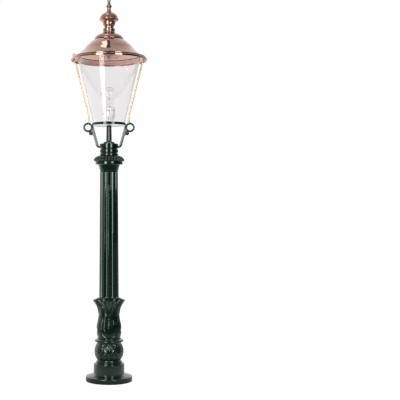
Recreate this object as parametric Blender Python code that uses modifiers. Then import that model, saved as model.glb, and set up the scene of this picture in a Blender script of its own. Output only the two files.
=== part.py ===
"""Garden street lamp: a cast fluted post with a round glass lantern under a hinged copper hood.

Sizes are in millimetres and MM turns them into scene metres. +Z is up, the front faces -Y, and the
origin is the centre of the foot's underside. The hood hinges on the right-hand rod, a ring screw
holds it on the left-hand rod, and the bulb turns in its holder.
"""

import math

import bmesh
import bpy
from mathutils import Matrix, Vector

MM = 0.001
GAP = 0.3
CHAMFER = 1.0

# Facets round a turned piece, by its size
LARGE_STEPS = 28
POST_STEPS = 22
MEDIUM_STEPS = 16
SMALL_STEPS = 14
ROD_STEPS = 12

# Post
FOOT_PLATE_RADIUS = 88.5
FOOT_PLATE_EDGE = 19.5
FOOT_PLATE_CROWN = 25.5
FOOT_EDGE_ROUND = 3.0
FOOT_DRUM_RADIUS = 58.9
FOOT_DRUM_TOP = 66.5
FOOT_STEP_RADIUS = 51.5
FOOT_BEAD_RADIUS = 49.5
FOOT_SEAT_RADIUS = 45.5
FOOT_TOP = 78.0
FOOT_STEP_HEIGHT = 3.0
FOOT_BEAD_DROP = 4.0
FOOT_CAVITY_RADIUS = 50.0
FOOT_CAVITY_TOP = 55.0
FOOT_CAVITY_DRAFT = 2.0
BOLT_HOLE_RADIUS = 4.5
BOLT_CIRCLE_RADIUS = 74.0
BOLT_HOLE_COUNT = 4

BALL_RADIUS = 55.8
BALL_CENTRE = 112.6
BALL_TOP = 144.0
BALL_BORE = 34.0
BALL_LEAVES = 8
BALL_CARVING = 2.2
BALL_ROWS = 6

COLLAR_RING_RADIUS = 55.5
COLLAR_RING_NECK = 46.5
COLLAR_RING_TOP = 162.0
COLLAR_RING_ROUND = 4.2

CUP_BOTTOM_RADIUS = 44.0
CUP_BELLY_RADIUS = 47.8
CUP_BELLY = 194.0
CUP_WAIST_RADIUS = 40.0
CUP_WAIST = 252.0
CUP_TIP_RADIUS = 60.6
CUP_TIP = 307.0
CUP_TOP = 322.0
CUP_RIM = 1.2
CUP_BORE = 28.0
CUP_SOCKET = 296.0
CUP_LEAVES = 4
CUP_VALLEY_DEPTH = 15.0
CUP_VALLEY_DROP = 9.0
CUP_LOBE_DEPTH = 3.0
CUP_RIB_HEIGHT = 3.4
CUP_RIB_WIDTH = 0.25
CUP_LOBE_START = 168.0
CUP_LOBE_FULL = 184.0
CUP_LOBE_FADE = (226.0, 258.0)
CUP_RIM_PULLS = ((49.0, 313.0), (56.0, 313.0))
CUP_FLARE_PULLS = ((53.0, 291.0), (40.0, 283.0))
CUP_BELLY_PULLS = ((40.0, 230.0), (47.8, 220.0))
CUP_FOOT_PULLS = ((47.8, 182.0), (44.0, 170.0))

SHAFT_BOTTOM_RADIUS = 37.2
SHAFT_TOP_RADIUS = 33.6
SHAFT_TOP = 793.0
SHAFT_BORE = 26.0
FLUTE_COUNT = 12
FLUTE_RADIUS = 8.2
FLUTE_DEPTH = 3.4
FLUTE_BOTTOM = 316.0
FLUTE_TOP = 791.0
FLUTE_STEPS = 14

CAPITAL_SPIGOT = 25.0
CAPITAL_NECK_RADIUS = 40.7
CAPITAL_BAND_RADIUS = 52.0
CAPITAL_BAND_BOTTOM = 822.5
CAPITAL_BAND_TOP = 833.5
CAPITAL_BORE = 20.0
CAPITAL_SPIGOT_RADIUS = 29.5
CAPITAL_TOP = 883.0
CAPITAL_FILLET = 3.0
CAPITAL_FLARE_PULLS = ((38.2, 812.0), (34.6, 803.0))

GADROON_COUNT = 28
GADROON_RADIUS = 57.6
GADROON_WIDEST = 840.0
GADROON_TOP = 857.0
GADROON_DEPTH = 2.2
GADROON_NECK_RADIUS = 36.5
GADROON_PULLS = ((45.0, 856.0), (57.6, 850.0))

CAP_RADIUS = 35.4
CAP_GROOVE_RADIUS = 32.6
CAP_TOP = 902.0
CAP_ROOF = 8.0
CAP_UPPER_GROOVE = 882.0
CAP_LOWER_GROOVE = 866.5
CAP_GROOVE_REACH = 3.4

TIE_ROD_RADIUS = 6.5
TIE_ROD_BORE = 4.0
TIE_ROD_BOTTOM = 34.0
TIE_ROD_TOP = 926.0
TIE_ROD_HOLE = 8.0
TIE_WASHER_RADIUS = 22.0
TIE_WASHER_HEIGHT = 3.0
TIE_NUT_RADIUS = 12.5
TIE_NUT_HEIGHT = 10.0

# Lantern carrier
STEM_FLANGE_RADIUS = 21.8
STEM_FLANGE_HEIGHT = 9.0
STEM_BOTTOM_RADIUS = 10.8
STEM_TOP_RADIUS = 9.4
STEM_TOP = 973.4
STEM_FILLET = 2.0
STEM_FLANGE_EDGE = 3.0
STEM_BORE = 7.0
NIPPLE_RADIUS = 5.0
NIPPLE_BORE = 3.4
NIPPLE_BOTTOM = 950.0
NIPPLE_TOP = 986.0

GALLERY_RADIUS = 64.5
GALLERY_WALL = 2.6
GALLERY_BOTTOM = 972.0
GALLERY_TOP = 981.5
GALLERY_LEDGE = 1.4
GALLERY_LEDGE_RADIUS = 53.0
PAN_HEIGHT = 3.0

ARM_BAR_RADIUS = 4.5
ARM_FOOT_SCALE = 0.72
ARM_FOOT = (32.0, 890.5)
ARM_BEND = ((38.0, 890.3), (42.6, 892.6), (45.2, 898.5))
ARM_HEAD = (66.8, 977.0)
ARM_LOOP = (80.0, 964.6)
ARM_LOOP_RADIUS = 14.9
ARM_LOOP_WIRE = 3.3
ARM_BALL = (69.5, 942.0)
ARM_BALL_RADIUS = 6.0
ARM_WEB = ((56.0, 936.0), (69.0, 940.0), (73.5, 950.5), (67.0, 961.0), (63.0, 966.0))
ARM_WEB_THICKNESS = 5.0
ROD_BOSS_RADIUS = 4.4
ROD_BOSS_TOP = 986.0

# Glass and lamp
GLASS_WALL = 3.0
GLASS_BOTTOM_RADIUS = 60.2
GLASS_SLOPE = 0.2386
GLASS_TOP = 1240.8

HOLDER_RADIUS = 23.0
HOLDER_FOOT_RADIUS = 17.0
HOLDER_WAIST = (18.5, 989.5)
HOLDER_SHOULDER = 1013.7
HOLDER_JOINT = 1028.0
HOLDER_TOP = 1041.5
HOLDER_BORE = 15.4
HOLDER_FLOOR = 1006.0
HOLDER_RING_BORE = 18.5
SHELL_RADIUS = 15.0
SHELL_WALL = 0.9
SHELL_TOP = 1036.0
SHELL_HOLE = 7.0
CONTACT_RADIUS = 5.0
CONTACT_HEIGHT = 3.0

BULB_RADIUS = 30.0
BULB_CENTRE = 1089.0
BULB_NECK_RADIUS = 15.5
BULB_NECK = 1046.0
BULB_WALL = 1.0
BULB_SHOULDER = (21.5, 1067.0)
BULB_CROWN_ANGLE = 70.0
BULB_LOWER_ANGLE = -22.0
BULB_CAP_RADIUS = 13.2
BULB_CAP_BOTTOM = HOLDER_FLOOR + CONTACT_HEIGHT + 2 * GAP
BULB_CAP_SKIRT = 4.0
BULB_CAP_TAPER = ((13.2, 1018.0), (7.2, 1012.5))
BULB_CAP_TIP = 4.2
MOUNT_TOP = 1068.0
MOUNT_STEM = ((1.6, 1067.0), (2.4, 1058.0), (4.0, 1052.0))
MOUNT_FOOT_RADIUS = 9.0
FILAMENT_TOP = 1094.0
FILAMENT_SPREAD = 12.0
FILAMENT_SAG = 4.0
FILAMENT_WIRE = 0.5

# Rods, hinge and ring screw
ROD_RADIUS = 3.0
ROD_X = 75.5
ROD_BEND = 1009.0
ROD_BEND_LENGTH = 10.0
ROD_KINK = ((126.5, 1206.5), (128.6, 1211.5), (132.0, 1215.5))
HINGE_X = 132.0
HINGE_Z = 1228.0
EYE_RADIUS = 5.0
EYE_WIDTH = 7.6
PIN_RADIUS = 1.9
PIN_LENGTH = 16.0
CHEEK_THICKNESS = 2.0
CHEEK_GAP = 0.9
SCREW_X = 134.0
FERRULE_RADIUS = 3.9
FERRULE_BOTTOM = 1217.0
FERRULE_FLOOR = 1220.5
FERRULE_TOP = 1228.5
FERRULE_BORE = 2.9
SHANK_RADIUS = 2.3
SHANK_BOTTOM = 1221.5
BUSH_RADIUS = 4.0
BUSH_BORE = 2.9
BUSH_BOTTOM = 1233.5
BUSH_TOP = 1240.2
RING_RADIUS = 4.3
RING_WIRE = 1.4
RING_COLLAR_HEIGHT = 1.6

# Hood
SHEET = 1.6
BELL_HOLE = 16.0
BELL_TOP = 1299.0
BELL_SHOULDER = 56.0
BELL_CROWN_PULLS = ((74.0, 1293.0), (84.0, 1276.0))
BELL_FLARE_PULLS = ((102.0, 1255.7), (121.0, 1245.0))
BELL_MIDDLE = (93.0, 1265.0)
BELL_FLARE = (138.0, 1236.5)
BRIM_STEP = (140.6, 1233.2)
BRIM_BEAD = (143.5, 1220.6)
BRIM_BEAD_RADIUS = 2.6
DOME_RADIUS = 55.4
DOME_BOTTOM = BELL_TOP + GAP
DOME_CROWN_ANGLE = 70.0
DOME_TOP_RADIUS = 14.0
DOME_HEIGHT = 26.0
CHIMNEY_BASE_RADIUS = 23.6
CHIMNEY_FOOT = ((18.3, 1339.5), (21.2, 1336.5), (23.2, 1333.0))
CHIMNEY_WAIST_RADIUS = 17.5
CHIMNEY_WAIST = 1344.5
CHIMNEY_NECK = ((23.4, 1361.0), (22.4, 1354.0), (18.7, 1349.0))
CHIMNEY_RIM_RADIUS = 25.4
CHIMNEY_TOP = 1367.0
CHIMNEY_BORE = 9.0
CHIMNEY_CAP_LIP = ((37.2, 1375.5), (37.2, 1372.5), (34.2, 1369.5))
CHIMNEY_CAP_SIDE = (34.3, 1379.0)
CHIMNEY_CAP_SIDE_PULLS = ((31.0, 1391.5), (33.5, 1386.0))
CHIMNEY_CAP_SHOULDER = (24.5, 1396.5)
CHIMNEY_CAP_NECK = (8.6, 1408.5)
CHIMNEY_CAP_NECK_PULLS = ((11.5, 1402.0), (18.0, 1401.0))
CHIMNEY_CAP_ROOF = 1392.0
CHIMNEY_CAP_TOP_RADIUS = 7.4
CHIMNEY_CAP_TOP = 1412.0
FINIAL_TOP = 1450.0
FINIAL_KNOB = ((3.8, 1449.2), (7.0, 1446.0))
FINIAL_NECK = ((4.8, 1442.0), (5.2, 1438.0), (7.5, 1431.5))
FINIAL_BEAD = ((11.1, 1427.0), (11.1, 1424.5), (9.4, 1421.0))
FINIAL_FOOT = (7.2, 1416.0)
STUD_RADIUS = 3.0
STUD_BOTTOM = 1284.0
STUD_TOP = 1424.0
ROOF_WASHER_RADIUS = 24.0
ROOF_WASHER_HEIGHT = 2.5
ROOF_NUT_RADIUS = 6.5
ROOF_NUT_HEIGHT = 6.0

for old_object in list(bpy.data.objects):
    bpy.data.objects.remove(old_object, do_unlink=True)

PARTS = bpy.data.collections.new("garden_street_lamp")
CUTTERS = bpy.data.collections.new("cutters")
bpy.context.scene.collection.children.link(PARTS)
bpy.context.scene.collection.children.link(CUTTERS)


def make_material(name, color, roughness, metallic=0.0, transmission=0.0):
    material = bpy.data.materials.new(name)
    material.use_nodes = True
    shader = material.node_tree.nodes["Principled BSDF"]
    shader.inputs["Base Color"].default_value = (*color, 1.0)
    shader.inputs["Roughness"].default_value = roughness
    shader.inputs["Metallic"].default_value = metallic
    shader.inputs["Transmission Weight"].default_value = transmission
    return material


GREEN_PAINT = make_material("green_paint", (0.008, 0.018, 0.012), 0.22)
COPPER = make_material("copper", (0.62, 0.34, 0.26), 0.2, metallic=1.0)
BRASS = make_material("brass", (0.75, 0.60, 0.33), 0.25, metallic=1.0)
STEEL = make_material("steel", (0.45, 0.46, 0.47), 0.35, metallic=1.0)
PORCELAIN = make_material("porcelain", (0.82, 0.81, 0.78), 0.2)
WHITE_ENAMEL = make_material("white_enamel", (0.86, 0.86, 0.86), 0.3)
CLEAR_GLASS = make_material("clear_glass", (0.93, 0.93, 0.95), 0.03, transmission=1.0)
TUNGSTEN = make_material("tungsten", (0.22, 0.21, 0.20), 0.4, metallic=1.0)


def add_object(name, data, material):
    obj = bpy.data.objects.new(name, data)
    PARTS.objects.link(obj)
    data.materials.append(material)
    return obj


def as_cutter(obj):
    """Move an object out of the parts and keep it as a hidden guide for Booleans."""
    PARTS.objects.unlink(obj)
    CUTTERS.objects.link(obj)
    obj.hide_render = True
    obj.display_type = "WIRE"
    return obj


def arc(centre, radius, start, end, steps):
    """Points on a circle in the (radius, height) plane, between two angles in degrees."""
    points = []
    for step in range(steps + 1):
        angle = math.radians(start + (end - start) * step / steps)
        points.append((centre[0] + radius * math.cos(angle), centre[1] + radius * math.sin(angle)))
    return points


def curve(start, pull_out, pull_in, end, steps):
    """Points on a cubic Bezier curve, without its last point."""
    points = []
    for step in range(steps):
        t = step / steps
        weights = ((1 - t) ** 3, 3 * t * (1 - t) ** 2, 3 * t * t * (1 - t), t ** 3)
        corners = (start, pull_out, pull_in, end)
        points.append(tuple(sum(w * c[axis] for w, c in zip(weights, corners)) for axis in (0, 1)))
    return points


def inner_wall(outer, thickness):
    """The inside of a spun sheet: the outer points moved in along their normals, bottom to top."""
    inner = []
    for index, point in enumerate(outer):
        before = Vector(outer[max(index - 1, 0)])
        after = Vector(outer[min(index + 1, len(outer) - 1)])
        along = (after - before).normalized()
        inner.append((point[0] + along.y * thickness, point[1] - along.x * thickness))
    return inner[::-1]


def turned(name, material, profile, steps, closed=True):
    """Revolve (radius, height) points about Z. The points run down the outer side."""
    mesh = bpy.data.meshes.new(name)
    points = [(radius * MM, 0.0, height * MM) for radius, height in profile]
    edges = [(index, index + 1) for index in range(len(points) - 1)]
    if closed:
        edges.append((len(points) - 1, 0))
    mesh.from_pydata(points, edges, [])
    obj = add_object(name, mesh, material)
    screw = obj.modifiers.new("Turn", "SCREW")
    screw.axis = "Z"
    screw.steps = steps
    screw.render_steps = steps
    screw.use_merge_vertices = True
    screw.merge_threshold = 0.00001
    return obj


def as_mesh(obj):
    """Replace an object by the mesh that it evaluates to, with its caps welded."""
    graph = bpy.context.evaluated_depsgraph_get()
    mesh = bpy.data.meshes.new_from_object(obj.evaluated_get(graph))
    work = bmesh.new()
    work.from_mesh(mesh)
    bmesh.ops.remove_doubles(work, verts=work.verts, dist=0.00001)
    bmesh.ops.recalc_face_normals(work, faces=work.faces)
    work.to_mesh(mesh)
    work.free()
    name, matrix = obj.name, obj.matrix_world.copy()
    bpy.data.objects.remove(obj, do_unlink=True)
    solid = bpy.data.objects.new(name, mesh)
    PARTS.objects.link(solid)
    solid.matrix_world = matrix
    return solid


def carve(obj, rule):
    """Turn a revolved object into a mesh and move its points by a rule on (radius, height, angle)."""
    solid = as_mesh(obj)
    for vertex in solid.data.vertices:
        x, y, z = vertex.co / MM
        radius = math.hypot(x, y)
        angle = math.atan2(y, x)
        radius, z = rule(radius, z, angle)
        vertex.co = Vector((radius * math.cos(angle), radius * math.sin(angle), z)) * MM
    return solid


def from_bmesh(name, material, work):
    mesh = bpy.data.meshes.new(name)
    work.to_mesh(mesh)
    work.free()
    return add_object(name, mesh, material)


def cylinder(name, material, radius, bottom, top, steps, centre=(0.0, 0.0)):
    work = bmesh.new()
    place = Matrix.Translation(Vector((centre[0], centre[1], (bottom + top) / 2)) * MM)
    bmesh.ops.create_cone(work, cap_ends=True, segments=steps, radius1=radius * MM, radius2=radius * MM,
                          depth=(top - bottom) * MM, matrix=place)
    return from_bmesh(name, material, work)


def cross_cylinder(name, material, radius, length, centre, steps, axis="Y"):
    """A cylinder along X or Y, centred on an (x, z) place."""
    work = bmesh.new()
    turn = Matrix.Rotation(math.pi / 2, 4, "X" if axis == "Y" else "Y")
    place = Matrix.Translation(Vector((centre[0], 0.0, centre[1])) * MM)
    bmesh.ops.create_cone(work, cap_ends=True, segments=steps, radius1=radius * MM, radius2=radius * MM,
                          depth=length * MM, matrix=place @ turn)
    return from_bmesh(name, material, work)


def ball(name, material, radius, centre, segments, rings):
    work = bmesh.new()
    place = Matrix.Translation(Vector((centre[0], 0.0, centre[1])) * MM)
    bmesh.ops.create_uvsphere(work, u_segments=segments, v_segments=rings, radius=radius * MM, matrix=place)
    return from_bmesh(name, material, work)


def upright_loop(name, material, radius, wire, centre, segments, sides):
    """A ring of round bar that stands in the XZ plane."""
    bpy.ops.mesh.primitive_torus_add(major_segments=segments, minor_segments=sides, major_radius=radius * MM,
                                     minor_radius=wire * MM, rotation=(math.pi / 2, 0.0, 0.0),
                                     location=(centre[0] * MM, 0.0, centre[1] * MM))
    obj = bpy.context.object
    for owner in list(obj.users_collection):
        owner.objects.unlink(obj)
    PARTS.objects.link(obj)
    obj.name = name
    obj.data.materials.append(material)
    return obj


def bar(name, material, radius, path, resolution=2, scales=None):
    """A round bar along (x, z) points, made a mesh with welded caps."""
    data = bpy.data.curves.new(name, "CURVE")
    data.dimensions = "3D"
    data.bevel_depth = radius * MM
    data.bevel_resolution = resolution
    data.use_fill_caps = True
    spline = data.splines.new("POLY")
    spline.points.add(len(path) - 1)
    for index, (x, z) in enumerate(path):
        spline.points[index].co = (x * MM, 0.0, z * MM, 1.0)
        spline.points[index].radius = scales[index] if scales else 1.0
    return as_mesh(add_object(name, data, material))


def plate(name, material, outline, thickness, hole=None, shift=0.0):
    """A flat outline in the XZ plane, extruded along Y about the given shift, with one round hole."""
    data = bpy.data.curves.new(name, "CURVE")
    data.dimensions = "2D"
    data.fill_mode = "BOTH"
    data.extrude = thickness * MM / 2
    loops = [outline]
    if hole:
        loops.append(arc(hole[0], hole[1], 0.0, 330.0, 11))
    for loop in loops:
        spline = data.splines.new("POLY")
        spline.points.add(len(loop) - 1)
        for point, (x, z) in zip(spline.points, loop):
            point.co = (x * MM, z * MM, 0.0, 1.0)
        spline.use_cyclic_u = True
    obj = add_object(name, data, material)
    obj.rotation_euler = (math.pi / 2, 0.0, 0.0)
    obj.location = (0.0, shift * MM, 0.0)
    bpy.context.view_layer.update()
    return as_mesh(obj)


def boolean(obj, other, operation):
    modifier = obj.modifiers.new(operation.title(), "BOOLEAN")
    modifier.operation = operation
    modifier.solver = "EXACT"
    modifier.object = as_cutter(other)


def fuse(obj, *others):
    for other in others:
        boolean(obj, other, "UNION")


def cut(obj, *cutters):
    for cutter in cutters:
        boolean(obj, cutter, "DIFFERENCE")


def smooth_step(low, high, value):
    t = min(max((value - low) / (high - low), 0.0), 1.0)
    return t * t * (3 - 2 * t)


def make_foot():
    """Cast foot: bolted plate, drum and stepped seat, hollow underneath."""
    edge = arc((FOOT_PLATE_RADIUS - FOOT_EDGE_ROUND, FOOT_PLATE_EDGE - FOOT_EDGE_ROUND),
               FOOT_EDGE_ROUND, 80.0, 0.0, 2)
    bead = arc((FOOT_SEAT_RADIUS, FOOT_TOP - FOOT_BEAD_DROP), FOOT_BEAD_RADIUS - FOOT_SEAT_RADIUS,
               90.0, -70.0, 3)
    profile = [(TIE_ROD_HOLE, FOOT_TOP)] + bead
    profile += [(FOOT_STEP_RADIUS, FOOT_DRUM_TOP + FOOT_STEP_HEIGHT), (FOOT_STEP_RADIUS, FOOT_DRUM_TOP)]
    profile += [(FOOT_DRUM_RADIUS - CHAMFER, FOOT_DRUM_TOP), (FOOT_DRUM_RADIUS, FOOT_DRUM_TOP - CHAMFER)]
    profile += [(FOOT_DRUM_RADIUS, FOOT_PLATE_CROWN + CHAMFER)]
    profile += [(FOOT_DRUM_RADIUS + CHAMFER, FOOT_PLATE_CROWN)]
    profile += edge + [(FOOT_PLATE_RADIUS, CHAMFER), (FOOT_PLATE_RADIUS - CHAMFER, 0.0)]
    profile += [(FOOT_CAVITY_RADIUS + FOOT_CAVITY_DRAFT, 0.0), (FOOT_CAVITY_RADIUS, FOOT_CAVITY_TOP)]
    profile += [(TIE_ROD_HOLE, FOOT_CAVITY_TOP)]
    foot = turned("foot_casting", GREEN_PAINT, profile, POST_STEPS)
    for index in range(BOLT_HOLE_COUNT):
        angle = 2 * math.pi * (index + 0.5) / BOLT_HOLE_COUNT
        centre = (BOLT_CIRCLE_RADIUS * math.cos(angle), BOLT_CIRCLE_RADIUS * math.sin(angle))
        cut(foot, cylinder("bolt_hole", GREEN_PAINT, BOLT_HOLE_RADIUS, -FOOT_PLATE_EDGE, 2 * FOOT_PLATE_EDGE,
                           ROD_STEPS, centre))


def make_tie_rod():
    """Threaded pipe that clamps the castings together and leads the supply cable up."""
    turned("tie_rod", STEEL, [(TIE_ROD_RADIUS, TIE_ROD_TOP), (TIE_ROD_RADIUS, TIE_ROD_BOTTOM),
                              (TIE_ROD_BORE, TIE_ROD_BOTTOM), (TIE_ROD_BORE, TIE_ROD_TOP)], ROD_STEPS)
    washer_top = FOOT_CAVITY_TOP - GAP
    washer_bottom = washer_top - TIE_WASHER_HEIGHT
    hole = TIE_ROD_RADIUS + GAP
    turned("tie_rod_washer", STEEL, [(TIE_WASHER_RADIUS, washer_top), (TIE_WASHER_RADIUS, washer_bottom),
                                     (hole, washer_bottom), (hole, washer_top)], ROD_STEPS)
    nut_top = washer_bottom - GAP
    nut = cylinder("tie_rod_nut", STEEL, TIE_NUT_RADIUS, nut_top - TIE_NUT_HEIGHT, nut_top, 6)
    cut(nut, cylinder("nut_hole", STEEL, hole, nut_top - 2 * TIE_NUT_HEIGHT, nut_top + TIE_NUT_HEIGHT,
                      ROD_STEPS))


def make_ball():
    """Cast ball with eight low leaves that part at the middle."""
    low = math.degrees(math.asin((FOOT_TOP + GAP - BALL_CENTRE) / BALL_RADIUS))
    high = math.degrees(math.asin((BALL_TOP - BALL_CENTRE) / BALL_RADIUS))
    profile = arc((0.0, BALL_CENTRE), BALL_RADIUS, high, low, BALL_ROWS)
    profile += [(BALL_BORE, FOOT_TOP + GAP), (BALL_BORE, BALL_TOP)]
    body = turned("ball_casting", GREEN_PAINT, profile, 4 * BALL_LEAVES)

    def leaves(radius, height, angle):
        outside = smooth_step(BALL_BORE, FOOT_SEAT_RADIUS, radius)
        belt = math.cos((height - BALL_CENTRE) / BALL_RADIUS * math.pi / 2) ** 2
        wave = math.cos(BALL_LEAVES * angle) - 1.0
        return radius + outside * belt * BALL_CARVING * wave / 2, height

    carve(body, leaves)


def make_collar_ring():
    """Thin cast ring between the ball and the leaf cup."""
    bottom = BALL_TOP + GAP
    middle = (bottom + COLLAR_RING_TOP) / 2
    edge = arc((COLLAR_RING_RADIUS - COLLAR_RING_ROUND, middle), COLLAR_RING_ROUND, 75.0, -75.0, 4)
    profile = [(CUP_BOTTOM_RADIUS + CHAMFER, COLLAR_RING_TOP)] + edge
    profile += [(COLLAR_RING_NECK, bottom), (BALL_BORE, bottom), (BALL_BORE, COLLAR_RING_TOP)]
    turned("collar_ring", GREEN_PAINT, profile, POST_STEPS)


def make_leaf_cup():
    """Cast cup of four upright leaves whose tips curl out round the foot of the shaft."""
    bottom = COLLAR_RING_TOP + GAP
    socket = SHAFT_BOTTOM_RADIUS + 2 * GAP
    tip, waist = (CUP_TIP_RADIUS, CUP_TIP), (CUP_WAIST_RADIUS, CUP_WAIST)
    belly, foot = (CUP_BELLY_RADIUS, CUP_BELLY), (CUP_BOTTOM_RADIUS, bottom)
    profile = [(socket, CUP_TOP), (socket + CUP_RIM, CUP_TOP)]
    profile += curve((socket + 4 * CUP_RIM, CUP_TOP - 4 * CUP_RIM), *CUP_RIM_PULLS, tip, 2)
    profile += curve(tip, *CUP_FLARE_PULLS, waist, 4)
    profile += curve(waist, *CUP_BELLY_PULLS, belly, 3)
    profile += curve(belly, *CUP_FOOT_PULLS, foot, 2)
    profile += [foot, (CUP_BORE, bottom), (CUP_BORE, CUP_SOCKET), (socket, CUP_SOCKET)]
    body = turned("leaf_cup", GREEN_PAINT, profile, 12 * CUP_LEAVES)

    def leaves(radius, height, angle):
        if radius <= socket + CUP_RIM:
            return radius, height
        valley = (0.5 - 0.5 * math.cos(CUP_LEAVES * angle)) ** 1.5
        flare = smooth_step(CUP_WAIST, CUP_TIP, height) * smooth_step(socket, CUP_TIP_RADIUS, radius)
        lobe = smooth_step(CUP_LOBE_START, CUP_LOBE_FULL, height)
        lobe *= 1.0 - smooth_step(*CUP_LOBE_FADE, height)
        rib = math.exp(-(math.sin(CUP_LEAVES * angle / 2) / CUP_RIB_WIDTH) ** 2)
        radius -= CUP_VALLEY_DEPTH * flare * valley
        radius -= CUP_LOBE_DEPTH * lobe * (0.5 + 0.5 * math.cos(2 * CUP_LEAVES * angle))
        radius += CUP_RIB_HEIGHT * rib * lobe
        return radius, height - CUP_VALLEY_DROP * flare * valley

    carve(body, leaves)


def shaft_radius(height):
    bottom = CUP_SOCKET + GAP
    rise = (height - bottom) / (SHAFT_TOP - bottom)
    return SHAFT_BOTTOM_RADIUS + (SHAFT_TOP_RADIUS - SHAFT_BOTTOM_RADIUS) * rise


def make_shaft():
    """Tapered column with round-ended flutes."""
    bottom = CUP_SOCKET + GAP
    profile = [(SHAFT_TOP_RADIUS, SHAFT_TOP), (SHAFT_BOTTOM_RADIUS, bottom), (SHAFT_BORE, bottom),
               (SHAFT_BORE, SHAFT_TOP)]
    shaft = turned("fluted_shaft", GREEN_PAINT, profile, 4 * FLUTE_COUNT)
    half = (FLUTE_TOP - FLUTE_BOTTOM) / 2
    rod = arc((0.0, half - FLUTE_RADIUS), FLUTE_RADIUS, 90.0, 0.0, 2)
    rod += [(radius, -height) for radius, height in rod[::-1]]
    rod[0] = (0.0, half)
    rod[-1] = (0.0, -half)
    middle = (FLUTE_TOP + FLUTE_BOTTOM) / 2
    lean = math.atan((SHAFT_BOTTOM_RADIUS - SHAFT_TOP_RADIUS) / (SHAFT_TOP - bottom))
    place = Matrix.Translation(Vector((shaft_radius(middle) + FLUTE_RADIUS - FLUTE_DEPTH, 0.0, middle)) * MM)
    flutes = bmesh.new()
    pattern = as_mesh(turned("flute", GREEN_PAINT, rod, FLUTE_STEPS, closed=False))
    for index in range(FLUTE_COUNT):
        spin = Matrix.Rotation(2 * math.pi * (index + 0.5) / FLUTE_COUNT, 4, "Z")
        copy = bmesh.new()
        copy.from_mesh(pattern.data)
        copy.transform(spin @ place @ Matrix.Rotation(-lean, 4, "Y"))
        placed = bpy.data.meshes.new("flute_place")
        copy.to_mesh(placed)
        copy.free()
        flutes.from_mesh(placed)
    bpy.data.objects.remove(pattern, do_unlink=True)
    cut(shaft, from_bmesh("flutes", GREEN_PAINT, flutes))


def make_capital():
    """Cast head of the post: plug in the shaft, flared neck, flat band and spigot for the cap."""
    bottom = SHAFT_TOP + GAP
    profile = [(CAPITAL_SPIGOT_RADIUS, CAPITAL_TOP), (CAPITAL_SPIGOT_RADIUS, CAPITAL_BAND_TOP),
               (CAPITAL_BAND_RADIUS - CHAMFER, CAPITAL_BAND_TOP),
               (CAPITAL_BAND_RADIUS, CAPITAL_BAND_TOP - CHAMFER),
               (CAPITAL_BAND_RADIUS, CAPITAL_BAND_BOTTOM + CHAMFER),
               (CAPITAL_BAND_RADIUS - CHAMFER, CAPITAL_BAND_BOTTOM),
               (CAPITAL_NECK_RADIUS, CAPITAL_BAND_BOTTOM)]
    profile += curve((CAPITAL_NECK_RADIUS, CAPITAL_BAND_BOTTOM - CAPITAL_FILLET), *CAPITAL_FLARE_PULLS,
                     (SHAFT_TOP_RADIUS, bottom), 2)
    profile += [(SHAFT_TOP_RADIUS, bottom), (SHAFT_BORE - GAP, bottom),
                (SHAFT_BORE - GAP, bottom - CAPITAL_SPIGOT), (CAPITAL_BORE, bottom - CAPITAL_SPIGOT),
                (CAPITAL_BORE, CAPITAL_TOP)]
    turned("capital", GREEN_PAINT, profile, POST_STEPS)


def make_gadroon_collar():
    """Cast collar of rounded lobes that spread over the band."""
    bottom = CAPITAL_BAND_TOP + GAP
    bore = CAPITAL_SPIGOT_RADIUS + GAP
    profile = [(bore, GADROON_TOP)]
    profile += curve((GADROON_NECK_RADIUS, GADROON_TOP), *GADROON_PULLS, (GADROON_RADIUS, GADROON_WIDEST), 2)
    profile += [(GADROON_RADIUS, GADROON_WIDEST), (CAPITAL_BAND_RADIUS, bottom), (bore, bottom)]
    body = turned("gadroon_collar", GREEN_PAINT, profile, 3 * GADROON_COUNT)

    def lobes(radius, height, angle):
        reach = smooth_step(GADROON_NECK_RADIUS, GADROON_RADIUS, radius)
        reach *= smooth_step(bottom, GADROON_WIDEST, height)
        hollow = 0.5 - 0.5 * math.cos(GADROON_COUNT * angle)
        return radius - GADROON_DEPTH * reach * hollow, height - 0.5 * GADROON_DEPTH * reach * hollow

    carve(body, lobes)


def make_post_cap():
    """Grooved cap that closes the post and takes the feet of the two arms in its wall."""
    bottom = GADROON_TOP + GAP
    bore = CAPITAL_SPIGOT_RADIUS + GAP
    roof = CAP_TOP - CAP_ROOF
    profile = [(TIE_ROD_HOLE, CAP_TOP), (CAP_RADIUS - CHAMFER, CAP_TOP), (CAP_RADIUS, CAP_TOP - CHAMFER)]
    for groove in (CAP_UPPER_GROOVE, CAP_LOWER_GROOVE):
        profile += [(CAP_RADIUS, groove + CAP_GROOVE_REACH), (CAP_GROOVE_RADIUS, groove + CHAMFER),
                    (CAP_GROOVE_RADIUS, groove - CHAMFER), (CAP_RADIUS, groove - CAP_GROOVE_REACH)]
    profile += [(CAP_RADIUS, bottom), (bore, bottom), (bore, roof), (TIE_ROD_HOLE, roof)]
    cap = turned("post_cap", GREEN_PAINT, profile, POST_STEPS)
    socket = ARM_BAR_RADIUS * ARM_FOOT_SCALE + GAP
    cut(cap, cross_cylinder("arm_sockets", GREEN_PAINT, socket, 4 * CAP_RADIUS, (0.0, ARM_FOOT[1]),
                            ROD_STEPS, "X"))


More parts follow.
